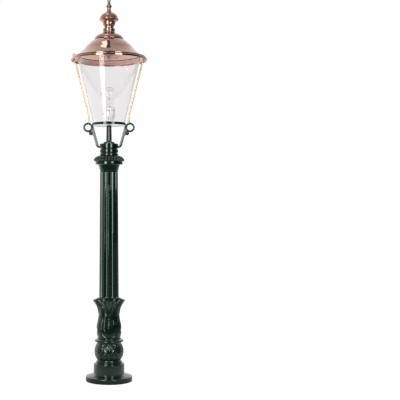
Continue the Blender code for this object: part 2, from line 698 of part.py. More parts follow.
def make_stem():
    """Tapered stem that screws down on the tie rod, and the nipple that carries the lampholder."""
    bottom = CAP_TOP + GAP
    shoulder = bottom + STEM_FLANGE_HEIGHT
    thread_end = TIE_ROD_TOP + GAP
    narrow = NIPPLE_RADIUS + GAP
    profile = [(STEM_TOP_RADIUS, STEM_TOP), (STEM_BOTTOM_RADIUS, shoulder + STEM_FILLET),
               (STEM_BOTTOM_RADIUS + STEM_FILLET, shoulder), (STEM_FLANGE_RADIUS, bottom + STEM_FLANGE_EDGE),
               (STEM_FLANGE_RADIUS, bottom), (STEM_BORE, bottom), (STEM_BORE, thread_end),
               (narrow, thread_end), (narrow, STEM_TOP)]
    turned("lantern_stem", GREEN_PAINT, profile, SMALL_STEPS)
    turned("stem_nipple", STEEL, [(NIPPLE_RADIUS, NIPPLE_TOP), (NIPPLE_RADIUS, NIPPLE_BOTTOM),
                                  (NIPPLE_BORE, NIPPLE_BOTTOM), (NIPPLE_BORE, NIPPLE_TOP)], ROD_STEPS)


def make_gallery():
    """Hoop that holds the glass, and the white pan that closes the lantern below."""
    wall = GALLERY_RADIUS - GALLERY_WALL
    ledge = GALLERY_BOTTOM + GALLERY_LEDGE
    profile = [(wall, GALLERY_TOP), (GALLERY_RADIUS - CHAMFER, GALLERY_TOP),
               (GALLERY_RADIUS, GALLERY_TOP - CHAMFER),
               (GALLERY_RADIUS, GALLERY_BOTTOM), (GALLERY_LEDGE_RADIUS, GALLERY_BOTTOM),
               (GALLERY_LEDGE_RADIUS, ledge), (wall, ledge)]
    turned("gallery_ring", GREEN_PAINT, profile, LARGE_STEPS)
    bottom = ledge + GAP
    hole = NIPPLE_RADIUS + GAP
    turned("floor_pan", WHITE_ENAMEL, [(wall - GAP, bottom + PAN_HEIGHT), (wall - GAP, bottom),
                                       (hole, bottom), (hole, bottom + PAN_HEIGHT)], LARGE_STEPS)


def make_arm(name, side):
    """Cast bracket: a bar from the cap to the gallery with a loop, a ball, a web and a rod boss."""
    def at(point):
        return side * point[0], point[1]

    path = [at(ARM_FOOT)] + [at(point) for point in ARM_BEND] + [at(ARM_HEAD)]
    scales = [ARM_FOOT_SCALE, ARM_FOOT_SCALE, (1.0 + ARM_FOOT_SCALE) / 2, 1.0, 1.0]
    arm = bar(name, GREEN_PAINT, ARM_BAR_RADIUS, path, 2, scales)
    loop = upright_loop("arm_loop", GREEN_PAINT, ARM_LOOP_RADIUS, ARM_LOOP_WIRE, at(ARM_LOOP), SMALL_STEPS, 6)
    knob = ball("arm_ball", GREEN_PAINT, ARM_BALL_RADIUS, at(ARM_BALL), 8, 6)
    web = plate("arm_web", GREEN_PAINT, [at(point) for point in ARM_WEB], ARM_WEB_THICKNESS)
    boss_bottom = ARM_LOOP[1] + ARM_LOOP_RADIUS
    boss = cylinder("rod_boss", GREEN_PAINT, ROD_BOSS_RADIUS, boss_bottom, ROD_BOSS_TOP, ROD_STEPS,
                    (side * ROD_X, 0.0))
    fuse(arm, web, loop, knob, boss)
    seat, low, high = GALLERY_RADIUS + GAP, GALLERY_BOTTOM - GAP, 2 * GALLERY_TOP - GALLERY_BOTTOM
    cut(arm, turned("gallery_seat", GREEN_PAINT, [(0.0, high), (seat, high), (seat, low), (0.0, low)],
                    LARGE_STEPS, closed=False))


def make_lampholder():
    """Two-part porcelain holder with its screw shell and centre contact."""
    bottom = GALLERY_BOTTOM + GALLERY_LEDGE + PAN_HEIGHT + 2 * GAP
    nipple_hole = NIPPLE_RADIUS + GAP
    top = HOLDER_JOINT - GAP
    roof = NIPPLE_TOP + GAP
    profile = [(HOLDER_RADIUS, top), (HOLDER_RADIUS, HOLDER_SHOULDER), HOLDER_WAIST,
               (HOLDER_FOOT_RADIUS, bottom), (nipple_hole, bottom), (nipple_hole, roof),
               (NIPPLE_BORE, roof), (NIPPLE_BORE, HOLDER_FLOOR), (HOLDER_BORE, HOLDER_FLOOR),
               (HOLDER_BORE, top)]
    turned("lampholder_body", PORCELAIN, profile, SMALL_STEPS)
    ring = [(HOLDER_RING_BORE, HOLDER_TOP), (HOLDER_RADIUS - CHAMFER, HOLDER_TOP),
            (HOLDER_RADIUS, HOLDER_TOP - CHAMFER), (HOLDER_RADIUS, HOLDER_JOINT),
            (HOLDER_RING_BORE, HOLDER_JOINT)]
    turned("lampholder_ring", PORCELAIN, ring, SMALL_STEPS)
    floor = HOLDER_FLOOR + GAP
    contact_top = floor + CONTACT_HEIGHT
    turned("thread_shell", BRASS, [(SHELL_RADIUS, SHELL_TOP), (SHELL_RADIUS, floor), (SHELL_HOLE, floor),
                                   (SHELL_HOLE, floor + SHELL_WALL),
                                   (SHELL_RADIUS - SHELL_WALL, floor + SHELL_WALL),
                                   (SHELL_RADIUS - SHELL_WALL, SHELL_TOP)], ROD_STEPS)
    turned("centre_contact", BRASS, [(0.0, contact_top), (CONTACT_RADIUS - CHAMFER, contact_top),
                                     (CONTACT_RADIUS, floor), (0.0, floor)], ROD_STEPS, closed=False)


def make_bulb():
    """Clear pear-shaped bulb with its screw cap, glass mount and filament."""
    outer = [(0.0, BULB_CENTRE + BULB_RADIUS)]
    outer += arc((0.0, BULB_CENTRE), BULB_RADIUS, BULB_CROWN_ANGLE, BULB_LOWER_ANGLE, 4)
    outer += [BULB_SHOULDER, (BULB_NECK_RADIUS, BULB_NECK)]
    inner = inner_wall(outer, BULB_WALL)
    inner[-1] = (0.0, BULB_CENTRE + BULB_RADIUS - BULB_WALL)
    glass = turned("bulb_glass", CLEAR_GLASS, outer + inner, SMALL_STEPS, closed=False)
    cap_top = BULB_NECK - GAP
    cap = [(0.0, cap_top), (BULB_NECK_RADIUS - CHAMFER, cap_top), (BULB_CAP_RADIUS, cap_top - BULB_CAP_SKIRT)]
    cap += [*BULB_CAP_TAPER, (BULB_CAP_TIP, BULB_CAP_BOTTOM), (0.0, BULB_CAP_BOTTOM)]
    screw_cap = turned("bulb_cap", BRASS, cap, SMALL_STEPS, closed=False)
    mount = turned("bulb_mount", CLEAR_GLASS, [(0.0, MOUNT_TOP), *MOUNT_STEM, (MOUNT_FOOT_RADIUS, BULB_NECK),
                                               (0.0, BULB_NECK)], ROD_STEPS, closed=False)
    sag = FILAMENT_TOP - FILAMENT_SAG
    wire = [(-FILAMENT_SPREAD, FILAMENT_TOP), (-FILAMENT_SPREAD / 2, sag), (FILAMENT_SPREAD / 2, sag),
            (FILAMENT_SPREAD, FILAMENT_TOP)]
    filament = bar("filament", TUNGSTEN, FILAMENT_WIRE, wire, 0)
    support = bar("filament_support", TUNGSTEN, FILAMENT_WIRE, [(0.0, MOUNT_TOP + GAP), (0.0, sag)], 0)
    fuse(filament, support)
    return [glass, screw_cap, mount, filament]


def make_glass():
    """Clear cone that stands on the pan inside the gallery and reaches up under the hood."""
    bottom = GALLERY_BOTTOM + GALLERY_LEDGE + PAN_HEIGHT + 2 * GAP
    top_radius = GLASS_BOTTOM_RADIUS + GLASS_SLOPE * (GLASS_TOP - bottom)
    profile = [(top_radius, GLASS_TOP), (GLASS_BOTTOM_RADIUS, bottom),
               (GLASS_BOTTOM_RADIUS - GLASS_WALL, bottom), (top_radius - GLASS_WALL, GLASS_TOP)]
    turned("glass_cone", CLEAR_GLASS, profile, LARGE_STEPS)


def rod_path(side, end):
    """A rod's bends from the arm's boss to its upper end."""
    lean = (HINGE_X - ROD_X) / (HINGE_Z - ROD_BEND)
    path = [(ROD_X, ROD_BOSS_TOP + GAP), (ROD_X, ROD_BEND - ROD_BEND_LENGTH)]
    path += [(ROD_X + lean * ROD_BEND_LENGTH / 4, ROD_BEND)]
    path += [(ROD_X + lean * ROD_BEND_LENGTH, ROD_BEND + ROD_BEND_LENGTH)]
    return [(side * x, z) for x, z in path + end]


def make_rods():
    """Brass rods: the left one ends in a threaded ferrule, the right one in a hinge eye."""
    place = (-SCREW_X, 0.0)
    end = [*ROD_KINK, (SCREW_X, FERRULE_FLOOR - FERRULE_BORE / 2)]
    left = bar("left_rod", BRASS, ROD_RADIUS, rod_path(-1, end), 2)
    fuse(left, cylinder("ferrule", BRASS, FERRULE_RADIUS, FERRULE_BOTTOM, FERRULE_TOP, ROD_STEPS, place))
    cut(left, cylinder("ferrule_bore", BRASS, FERRULE_BORE, FERRULE_FLOOR, 2 * FERRULE_TOP - FERRULE_FLOOR,
                       ROD_STEPS, place))
    hinge = (HINGE_X, HINGE_Z)
    right = bar("right_rod", BRASS, ROD_RADIUS, rod_path(1, [(HINGE_X, HINGE_Z - ROD_RADIUS)]), 2)
    fuse(right, cross_cylinder("eye", BRASS, EYE_RADIUS, EYE_WIDTH, hinge, SMALL_STEPS))
    cut(right, cross_cylinder("eye_hole", BRASS, PIN_RADIUS + GAP, 2 * EYE_WIDTH, hinge, ROD_STEPS))


def brim_inner_radius(height):
    """Inside of the slanted band between the flare and the rolled edge."""
    top = (BRIM_STEP[0] - SHEET, BRIM_STEP[1])
    bottom = (BRIM_BEAD[0] - BRIM_BEAD_RADIUS, BRIM_BEAD[1] + BRIM_BEAD_RADIUS)
    return top[0] + (bottom[0] - top[0]) * (top[1] - height) / (top[1] - bottom[1])


def make_hinge():
    """Two cheeks brazed inside the brim, and the pin that runs through the right rod's eye."""
    hinge = (HINGE_X, HINGE_Z)
    low, high = HINGE_Z - EYE_RADIUS, HINGE_Z + EYE_RADIUS - CHAMFER
    outline = arc(hinge, EYE_RADIUS, 90.0, 270.0, 8)
    outline += [(brim_inner_radius(low) - CHEEK_GAP, low), (brim_inner_radius(high) - CHEEK_GAP, high)]
    offset = EYE_WIDTH / 2 + 2 * GAP + CHEEK_THICKNESS / 2
    pieces = []
    for name, side in (("hinge_cheek_front", -1), ("hinge_cheek_rear", 1)):
        pieces.append(plate(name, COPPER, outline, CHEEK_THICKNESS, (hinge, PIN_RADIUS + GAP), side * offset))
    pieces.append(cross_cylinder("hinge_pin", BRASS, PIN_RADIUS, PIN_LENGTH, hinge, ROD_STEPS))
    return pieces


def make_ring_screw():
    """Captive screw with a ring to turn it by, through the brim into the left rod's ferrule."""
    place, collar_bottom = (-SCREW_X, 0.0), BUSH_TOP + GAP
    collar_top = collar_bottom + RING_COLLAR_HEIGHT
    screw = cylinder("ring_screw", BRASS, SHANK_RADIUS, SHANK_BOTTOM, collar_top, ROD_STEPS, place)
    collar = cylinder("ring_collar", BRASS, BUSH_RADIUS, collar_bottom, collar_top, ROD_STEPS, place)
    ring_centre = (-SCREW_X, collar_top + RING_RADIUS + RING_WIRE / 2)
    ring = upright_loop("screw_ring", BRASS, RING_RADIUS, RING_WIRE, ring_centre, SMALL_STEPS, 6)
    fuse(screw, collar, ring)
    return [screw]


def make_hood():
    """Spun copper bell, dome and chimney, clamped by one stud under the brass finial."""
    bell = [(BELL_HOLE, BELL_TOP)]
    bell += curve((BELL_SHOULDER, BELL_TOP), *BELL_CROWN_PULLS, BELL_MIDDLE, 3)
    bell += curve(BELL_MIDDLE, *BELL_FLARE_PULLS, BELL_FLARE, 3)
    bell += [BELL_FLARE, BRIM_STEP]
    bead = arc(BRIM_BEAD, BRIM_BEAD_RADIUS, 55.0, -225.0, 4)
    shell = turned("roof_bell", COPPER, bell + bead + inner_wall(bell, SHEET), LARGE_STEPS)
    place, low, high = (-SCREW_X, 0.0), 2 * BUSH_BOTTOM - BUSH_TOP, 2 * BUSH_TOP - BUSH_BOTTOM
    cut(shell, cylinder("bush_hole", COPPER, BUSH_RADIUS + GAP, low, high, ROD_STEPS, place))
    bush = cylinder("brim_bush", BRASS, BUSH_RADIUS, BUSH_BOTTOM, BUSH_TOP, ROD_STEPS, place)
    cut(bush, cylinder("bush_bore", BRASS, BUSH_BORE, low, high, ROD_STEPS, place))

    squash = DOME_HEIGHT / DOME_RADIUS
    outer = [(radius, DOME_BOTTOM + squash * height)
             for radius, height in arc((0.0, 0.0), DOME_RADIUS, DOME_CROWN_ANGLE, 0.0, 3)]
    outer = [(DOME_TOP_RADIUS, outer[0][1])] + outer
    inner = inner_wall(outer, SHEET)
    inner[0] = (DOME_RADIUS - SHEET, DOME_BOTTOM)
    dome = turned("dome_cap", COPPER, outer + inner, POST_STEPS)

    chimney_bottom = outer[0][1] + GAP
    chimney = [(CHIMNEY_BORE, CHIMNEY_TOP), (CHIMNEY_RIM_RADIUS, CHIMNEY_TOP), *CHIMNEY_NECK,
               (CHIMNEY_WAIST_RADIUS, CHIMNEY_WAIST), *CHIMNEY_FOOT, (CHIMNEY_BASE_RADIUS, chimney_bottom),
               (CHIMNEY_BORE, chimney_bottom)]
    neck = turned("chimney_neck", COPPER, chimney, MEDIUM_STEPS)

    bottom = CHIMNEY_TOP + GAP
    stud_hole = STUD_RADIUS + GAP
    cap = [(stud_hole, CHIMNEY_CAP_TOP), (CHIMNEY_CAP_TOP_RADIUS, CHIMNEY_CAP_TOP)]
    cap += curve(CHIMNEY_CAP_NECK, *CHIMNEY_CAP_NECK_PULLS, CHIMNEY_CAP_SHOULDER, 2)
    cap += curve(CHIMNEY_CAP_SHOULDER, *CHIMNEY_CAP_SIDE_PULLS, CHIMNEY_CAP_SIDE, 2)
    cap += [CHIMNEY_CAP_SIDE, *CHIMNEY_CAP_LIP, (CHIMNEY_RIM_RADIUS, bottom), (CHIMNEY_BORE, bottom)]
    cap += [(CHIMNEY_BORE, CHIMNEY_CAP_ROOF), (stud_hole, CHIMNEY_CAP_ROOF)]
    chimney_cap = turned("chimney_cap", COPPER, cap, MEDIUM_STEPS)

    seat = CHIMNEY_CAP_TOP + GAP
    blind_end = STUD_TOP + GAP
    knob = [(0.0, FINIAL_TOP), *FINIAL_KNOB, *FINIAL_NECK, *FINIAL_BEAD, FINIAL_FOOT, (FINIAL_FOOT[0], seat)]
    knob += [(stud_hole, seat), (stud_hole, blind_end), (0.0, blind_end)]
    finial = turned("finial", BRASS, knob, SMALL_STEPS, closed=False)

    stud = cylinder("roof_stud", STEEL, STUD_RADIUS, STUD_BOTTOM, STUD_TOP, ROD_STEPS)
    washer_top = BELL_TOP - SHEET - GAP
    washer_bottom = washer_top - ROOF_WASHER_HEIGHT
    washer = turned("roof_washer", STEEL, [(ROOF_WASHER_RADIUS, washer_top),
                                           (ROOF_WASHER_RADIUS, washer_bottom),
                                           (stud_hole, washer_bottom), (stud_hole, washer_top)], ROD_STEPS)
    nut_top = washer_bottom - GAP
    nut = cylinder("roof_nut", STEEL, ROOF_NUT_RADIUS, nut_top - ROOF_NUT_HEIGHT, nut_top, 6)
    cut(nut, cylinder("roof_nut_hole", STEEL, stud_hole, nut_top - 2 * ROOF_NUT_HEIGHT,
                      nut_top + ROOF_NUT_HEIGHT, ROD_STEPS))
    return [shell, bush, dome, neck, chimney_cap, finial, stud, washer, nut]


def carry(name, place, pieces):
    """Hang pieces on an empty that stands on their joint's axis."""
    pivot = bpy.data.objects.new(name, None)
    PARTS.objects.link(pivot)
    pivot.location = Vector(place) * MM
    bpy.context.view_layer.update()
    for piece in pieces:
        piece.parent = pivot
        piece.matrix_parent_inverse = pivot.matrix_world.inverted()
    return pivot


def smooth(obj):
    obj.data.shade_smooth()
    obj.data.set_sharp_from_angle(angle=math.radians(35.0))


make_foot()
make_tie_rod()
make_ball()
make_collar_ring()
make_leaf_cup()
make_shaft()
make_capital()
make_gadroon_collar()
make_post_cap()
make_stem()
make_gallery()
make_arm("left_arm", -1)
make_arm("right_arm", 1)
make_lampholder()
make_glass()
make_rods()

hood_pivot = carry("hood_pivot", (HINGE_X, 0.0, HINGE_Z), make_hood() + make_hinge())
screw_pivot = carry("ring_screw_pivot", (-SCREW_X, 0.0, BUSH_TOP), make_ring_screw())
screw_pivot.parent = hood_pivot
screw_pivot.matrix_parent_inverse = hood_pivot.matrix_world.inverted()
carry("bulb_pivot", (0.0, 0.0, BULB_CAP_BOTTOM), make_bulb())

for part in PARTS.objects:
    if part.type == "MESH":
        smooth(part)
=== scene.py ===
# %% [markdown]
# # A street lamp with a copper hood
# This lesson dresses a working model of a low street lamp. The lamp's bodies, joints and sizes come from a
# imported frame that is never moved; here every part that shows is modelled again with a fine surface and given
# its finish: glossy dark green castings, polished copper, pale brass, porcelain and clear glass.

# %% Load the frame
import math

import bpy
import numpy as np
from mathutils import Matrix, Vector


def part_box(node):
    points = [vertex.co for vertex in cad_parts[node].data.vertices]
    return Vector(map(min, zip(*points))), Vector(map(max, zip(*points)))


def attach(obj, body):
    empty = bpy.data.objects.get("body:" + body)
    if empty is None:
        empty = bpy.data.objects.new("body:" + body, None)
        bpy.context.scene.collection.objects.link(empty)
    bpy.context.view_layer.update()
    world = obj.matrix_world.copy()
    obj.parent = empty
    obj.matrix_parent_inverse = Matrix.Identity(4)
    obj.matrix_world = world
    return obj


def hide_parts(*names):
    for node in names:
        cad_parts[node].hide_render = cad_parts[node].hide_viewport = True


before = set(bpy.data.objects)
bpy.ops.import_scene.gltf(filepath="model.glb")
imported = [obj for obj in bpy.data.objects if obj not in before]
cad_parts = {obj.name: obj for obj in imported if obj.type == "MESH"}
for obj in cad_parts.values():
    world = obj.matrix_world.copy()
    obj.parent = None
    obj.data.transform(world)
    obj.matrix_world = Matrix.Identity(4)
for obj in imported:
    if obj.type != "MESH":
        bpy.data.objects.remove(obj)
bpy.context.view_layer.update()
MM = 0.001


# %% [markdown]
# ## The camera
# The lamp was photographed with a long lens from half its height, so its verticals stay straight. The lamp
# stands left of the picture's middle, and a sideways lens shift puts it there without turning the camera.

# %% Place the camera
CAMERA_DISTANCE = 3.393
CAMERA_HEIGHT = 0.669
CAMERA_LENS = 80.1
CAMERA_SHIFT = (0.2275, 0.0125)

bpy.ops.object.select_all(action="DESELECT")
bpy.ops.object.camera_add(location=(0.0, -CAMERA_DISTANCE, CAMERA_HEIGHT), rotation=(math.pi / 2, 0.0, 0.0))
camera = bpy.context.object
camera.data.lens = CAMERA_LENS
camera.data.shift_x, camera.data.shift_y = CAMERA_SHIFT
bpy.context.scene.camera = camera
bpy.context.scene.view_settings.view_transform = "Standard"
print("camera", tuple(round(value, 3) for value in camera.location))


# %% [markdown]
# ## Shader arithmetic
# A pattern is easier to read as a sum than as a web of nodes. A small class wraps one output socket, and its
# operators add the Math nodes. Everything else goes through one method that sets a node's choices first and
# then fills its sockets.

# %% A class for sockets and one for finishes
class Value:
    """One output socket of a shader that takes part in arithmetic."""

    def __init__(self, finish, socket):
        self.finish = finish
        self.socket = socket

    def math(self, operation, *others):
        inputs = dict(enumerate((self, *others)))
        return self.finish.node("ShaderNodeMath", {"operation": operation}, inputs)

    def __add__(self, other):
        return self.math("ADD", other)

    def __sub__(self, other):
        return self.math("SUBTRACT", other)

    def __rsub__(self, other):
        return self.finish.node("ShaderNodeMath", {"operation": "SUBTRACT"}, {0: other, 1: self})

    def __mul__(self, other):
        return self.math("MULTIPLY", other)

    def __truediv__(self, other):
        return self.math("DIVIDE", other)

    def clamp(self, low=0.0, high=1.0):
        return self.math("MAXIMUM", low).math("MINIMUM", high)

    def climb(self, low, high):
        """0 up to low, 1 from high on, and even between them."""
        return ((self - low) / (high - low)).clamp()

    __radd__ = __add__
    __rmul__ = __mul__


class Finish:
    """A material, or the world, while its nodes are being laid."""

    def __init__(self, name, owner=None):
        self.owner = owner or bpy.data.materials.new(name)
        self.owner.use_nodes = True
        self.tree = self.owner.node_tree
        self.shader = self.tree.nodes.get("Principled BSDF")

    def fill(self, node, inputs):
        for key, value in inputs.items():
            if isinstance(value, Value):
                self.tree.links.new(value.socket, node.inputs[key])
            else:
                node.inputs[key].default_value = value

    def node(self, kind, settings=None, inputs=None, output=0):
        made = self.tree.nodes.new(kind)
        for key, value in (settings or {}).items():
            if key == "stops":
                while len(made.color_ramp.elements) < len(value):
                    made.color_ramp.elements.new(1.0)
                for element, (place, color) in zip(made.color_ramp.elements, value):
                    element.position = place
                    element.color = (*color, 1.0)
            else:
                setattr(made, key, value)
        self.fill(made, inputs or {})
        return Value(self, made.outputs[output])

    def place(self):
        return self.node("ShaderNodeTexCoord", output="Object")

    def parts(self, vector):
        separated = self.node("ShaderNodeSeparateXYZ", inputs={0: vector})
        outputs = separated.socket.node.outputs
        return tuple(Value(self, socket) for socket in outputs)

    def vector(self, x, y, z):
        return self.node("ShaderNodeCombineXYZ", inputs={0: x, 1: y, 2: z})

    def noise(self, vector, scale, detail=3.0, roughness=0.5):
        inputs = {"Vector": vector, "Scale": scale, "Detail": detail, "Roughness": roughness}
        return self.node("ShaderNodeTexNoise", inputs=inputs)

    def ramp(self, factor, *stops):
        return self.node("ShaderNodeValToRGB", {"stops": stops}, {"Fac": factor})

    def bump(self, height, strength, distance):
        inputs = {"Height": height, "Strength": strength, "Distance": distance}
        return self.node("ShaderNodeBump", inputs=inputs)

    def set(self, **inputs):
        self.fill(self.shader, {key.replace("_", " "): value for key, value in inputs.items()})

    def output(self, shader):
        self.tree.links.new(shader.socket, self.tree.nodes["Material Output"].inputs["Surface"])


print("shader helpers ready")


# %% [markdown]
# ## The floor
# The photograph is a plain studio shot on white, so the floor is pale to the camera and through glass. Polished
# metal and gloss paint are mostly a picture of the room, though, and their reflections see another floor, painted
# into its glow: a painted pool of light round the lamp, painted shade close to its foot, brighter behind it and to
# the left, and dimmed at the right, where a dark flag keeps the light off. The Light Path node tells the two kinds of
# ray apart.

# %% Lay the floor
FLOOR_SIZE = 30.0
FLOOR_GLOW = 0.82
FLOOR_BOUNCE = 0.8
FLOOR_IN_GLOSS = 0.40
FLOOR_FAR = (0.03, 0.6)
FLOOR_WRAP = 0.35
FLOOR_SIDES = 0.8
FLOOR_LEFT = 0.4
FLOOR_FLAG = 0.6
FLOOR_POOL = (0.12, 0.7)
FLOOR_CONTACT = (0.09, 0.24, 0.4)
FLOOR_COLORS = (0.02, 0.5)
FLOOR_ROUGHNESS = 0.9
FLAG = (0.15, 0.50, 0.85)


def grey(level):
    return (level,) * 3


def rays(finish):
    """Whether a ray shows the surface itself, straight or through glass, and whether it shows a reflection."""
    path = finish.node("ShaderNodeLightPath").socket.node.outputs
    straight = Value(finish, path["Is Camera Ray"]) + Value(finish, path["Is Transmission Ray"])
    straight = straight.math("MINIMUM", 1.0)
    return straight, Value(finish, path["Is Glossy Ray"]) * (1 - straight)


def flag(sideways):
    """How much of the light a dark flag at the lamp's right takes away, by how far right a ray goes."""
    start, full, share = FLAG
    return sideways.climb(start, full) * share


bpy.ops.object.select_all(action="DESELECT")
bpy.ops.mesh.primitive_plane_add(size=FLOOR_SIZE)
floor = bpy.context.object
floor.name = "studio_floor"
floor_finish = Finish("pale_floor")
seen, reflected = rays(floor_finish)
away_x, away_y, _ = floor_finish.parts(floor_finish.place())
away = (away_x * away_x + away_y * away_y).math("SQRT")
near, far = FLOOR_POOL
spread = away.climb(near, far)
# Painted light and shade in the glow that reflections see: a pool round the lamp, painted shade near the foot, and
# dimming at the right.
pool = (1 - spread) * FLOOR_IN_GLOSS * (1 + away_x.math("ABSOLUTE") / (away + near) * FLOOR_SIDES)
under, clear, shade = FLOOR_CONTACT
pool = pool * ((away - under) / (clear - under)).clamp(shade)
front, rear = FLOOR_FAR
lit = (1 - flag(away_x / away) * FLOOR_FLAG) * (1 + (away_x / away * -FLOOR_LEFT).math("MAXIMUM", 0.0))
pool = pool + front + spread * (away_y / away + FLOOR_WRAP).math("MAXIMUM", 0.0) * rear * lit
glow = seen * FLOOR_GLOW + reflected * pool + (1 - seen - reflected) * FLOOR_BOUNCE
dim, pale = FLOOR_COLORS
color = floor_finish.ramp(reflected, (0.0, grey(pale)), (1.0, grey(dim)))
floor_finish.set(Base_Color=color, Roughness=FLOOR_ROUGHNESS, Specular_IOR_Level=0.0)
floor_finish.set(Emission_Color=floor_finish.vector(glow, glow, glow), Emission_Strength=1.0)
floor.data.materials.append(floor_finish.owner)
print("floor:", FLOOR_SIZE, "m across")


# %% [markdown]
# ## The lights
# A tall soft light stands at each side of the camera, with darkness between them, where the streaks on the real
# lamp say they stood. The left one fades towards the ground, so it is two area lights, the weaker one below. A
# small panel overhead lays the pale patch on the copper bell.

# %% Set up the lights
SOFTBOX_DISTANCE = 2.4
SOFTBOX_WIDTH = 0.80
LEFT_BOX = (-28.0, 0.76, 2.3, 21.5)
LOW_BOX = (-28.0, 0.02, 0.76, 8.0)
RIGHT_BOX = (28.0, 0.80, 2.3, 17.0)
PANEL_PLACE = (-0.315, -0.06, 2.9)
PANEL_SIZE = (0.34, 0.82)
PANEL_POWER = 1.4


def area_light(name, place, turned, size, power):
    """Add a rectangular light, which shines straight down where it isn't turned."""
    bpy.ops.object.light_add(type="AREA", location=place, rotation=turned)
    light = bpy.context.object
    light.name = name
    light.data.shape = "RECTANGLE"
    light.data.size, light.data.size_y = size
    light.data.energy = power


def softbox(name, bearing, bottom, top, power):
    """Add a tall light that faces the lamp from a bearing off the camera's line."""
    angle = math.radians(bearing)
    place = Vector((math.sin(angle), -math.cos(angle), 0.0)) * SOFTBOX_DISTANCE
    place.z = (bottom + top) / 2
    area_light(name, place, (math.pi / 2, 0.0, angle), (SOFTBOX_WIDTH, top - bottom), power)


softbox("left_softbox", *LEFT_BOX)
softbox("low_softbox", *LOW_BOX)
softbox("right_softbox", *RIGHT_BOX)
area_light("roof_panel", PANEL_PLACE, (0.0, 0.0, 0.0), PANEL_SIZE, PANEL_POWER)


# %% [markdown]
# ## The room
# The world is white to the camera and through glass. To reflections it is a room: white behind the lamp and dim in
# front of it, a little darker in the middle, brighter to the left, with the flag at the right and a soft roof. A dark
# gap in that roof, beside the panel, draws the dark bar on the bell. Area lights can't do that, because they add
# light and never hide what is behind them.

# %% Light the room
FILL_LIGHT = 0.40
ROOM_DEPTHS = (0.15, 0.5, 0.95)
ROOM_LEVELS = (0.025, 0.07, 0.95)
ROOM_ROOF = 0.41
ROOF_SHADE = 0.6
ROOM_LEAN = 0.13
ROOM_HOLLOW = (0.60, 7.0)
FLAG_TOP = 0.3
ROOF_GAP = (-0.015, 0.065, 0.30, 0.85)
GAP_SLOPES = (50.0, 25.0)
GAP_SHARE = 0.85

world = bpy.data.worlds.new("studio")
bpy.context.scene.world = world
studio = Finish("studio", world)
seen, reflected = rays(studio)
across, depth, rise = studio.parts(studio.node("ShaderNodeTexCoord", output="Generated"))
stops = [(place, grey(level)) for place, level in zip(ROOM_DEPTHS, ROOM_LEVELS)]
behind = studio.ramp(depth * 0.5 + 0.5, *stops)
above = rise.math("MAXIMUM", 0.0)
middle, widen = ROOM_HOLLOW
hollow = (across * across * widen + middle).math("MINIMUM", 1.0)
shown = behind * hollow * (1 - above * ROOF_SHADE) + above * ROOM_ROOF - across * ROOM_LEAN
shown = shown * (1 - flag(across) * (1 - above / FLAG_TOP).math("MAXIMUM", 0.0))
gap_x, gap_half, gap_rear, gap_rise = ROOF_GAP
steep, slow = GAP_SLOPES
gap = ((gap_half - (across - gap_x).math("ABSOLUTE")) * steep).clamp()
gap = gap * ((gap_rear - depth) * slow).clamp() * ((rise - gap_rise) * slow).clamp()
shown = shown * (1 - gap * GAP_SHARE)
background = world.node_tree.nodes["Background"]
background.inputs["Color"].default_value = (1.0, 1.0, 1.0, 1.0)
studio.fill(background, {"Strength": seen + reflected * shown + (1 - seen - reflected) * FILL_LIGHT})
print("room:", len(world.node_tree.nodes), "nodes")


# %% [markdown]
# ## Green paint
# The post is cast metal under thick gloss paint. Such paint is smooth but never flat: it has a faint orange
# peel and lies over the soft lumps of the casting. Noise at those two scales drives a weak bump, and a slow
# third one shifts colour and gloss a little.

# %% Mix the green paint
DARK_GREEN = (0.0011, 0.0086, 0.0046)
LIGHT_GREEN = (0.0021, 0.0124, 0.0069)
GREEN_SHEEN = (0.72, 1.0, 0.86, 1.0)
LUMP_SCALE = 55.0
PEEL_SCALE = 650.0
DRIFT_SCALE = 7.0
PAINT_ROUGHNESS = 0.07
PAINT_IOR = 1.5


def green_paint():
    finish = Finish("green_paint")
    place = finish.place()
    lumps = finish.noise(place, LUMP_SCALE)
    peel = finish.noise(place, PEEL_SCALE, 2.0)
    drift = finish.noise(place, DRIFT_SCALE, 2.0)
    color = finish.ramp(drift * 0.7 + peel * 0.3, (0.25, DARK_GREEN), (0.75, LIGHT_GREEN))
    finish.set(Base_Color=color, Roughness=PAINT_ROUGHNESS + drift * 0.05 + peel * 0.03)
    finish.set(Normal=finish.bump(lumps * 0.9 + peel * 0.1, 0.04, 0.0008))
    finish.set(IOR=PAINT_IOR, Specular_Tint=GREEN_SHEEN, Coat_Weight=1.0, Coat_Roughness=0.03, Coat_IOR=PAINT_IOR)
    return finish.owner


GREEN = green_paint()
print("finish:", GREEN.name)


# %% [markdown]
# ## Copper and brass
# The hood is spun from copper sheet, and polishing on the lathe leaves fine rings round its axis. Noise read on
# radius and height alone is the same all round, which is just what a lathe does. Clear lacquer keeps the polish.
# The rods are drawn and only dulled by handling, and the small brass pieces are turned like the hood.

# %% Mix the metals
def turned_metal(name, dark, light, roughness, ring_scale, cloud_scale, lacquer=0.0):
    """Polished metal with lathe rings round the Z axis and slow clouds of tarnish, and clear lacquer on top."""
    finish = Finish(name)
    place = finish.place()
    x, y, z = finish.parts(place)
    radius = (x * x + y * y).math("SQRT")
    rings = finish.noise(finish.vector(radius, 0.0, z), ring_scale, 4.0, 0.7)
    clouds = finish.noise(place, cloud_scale, 4.0, 0.55)
    finish.set(Base_Color=finish.ramp(clouds * 0.7 + rings * 0.3, (0.3, dark), (0.7, light)))
    finish.set(Roughness=roughness + (clouds - 0.5) * 0.12 + (rings - 0.5) * 0.10, Metallic=1.0)
    finish.set(Normal=finish.bump(rings, 0.03, 0.0002), Coat_Weight=lacquer, Coat_Roughness=0.05)
    return finish.owner


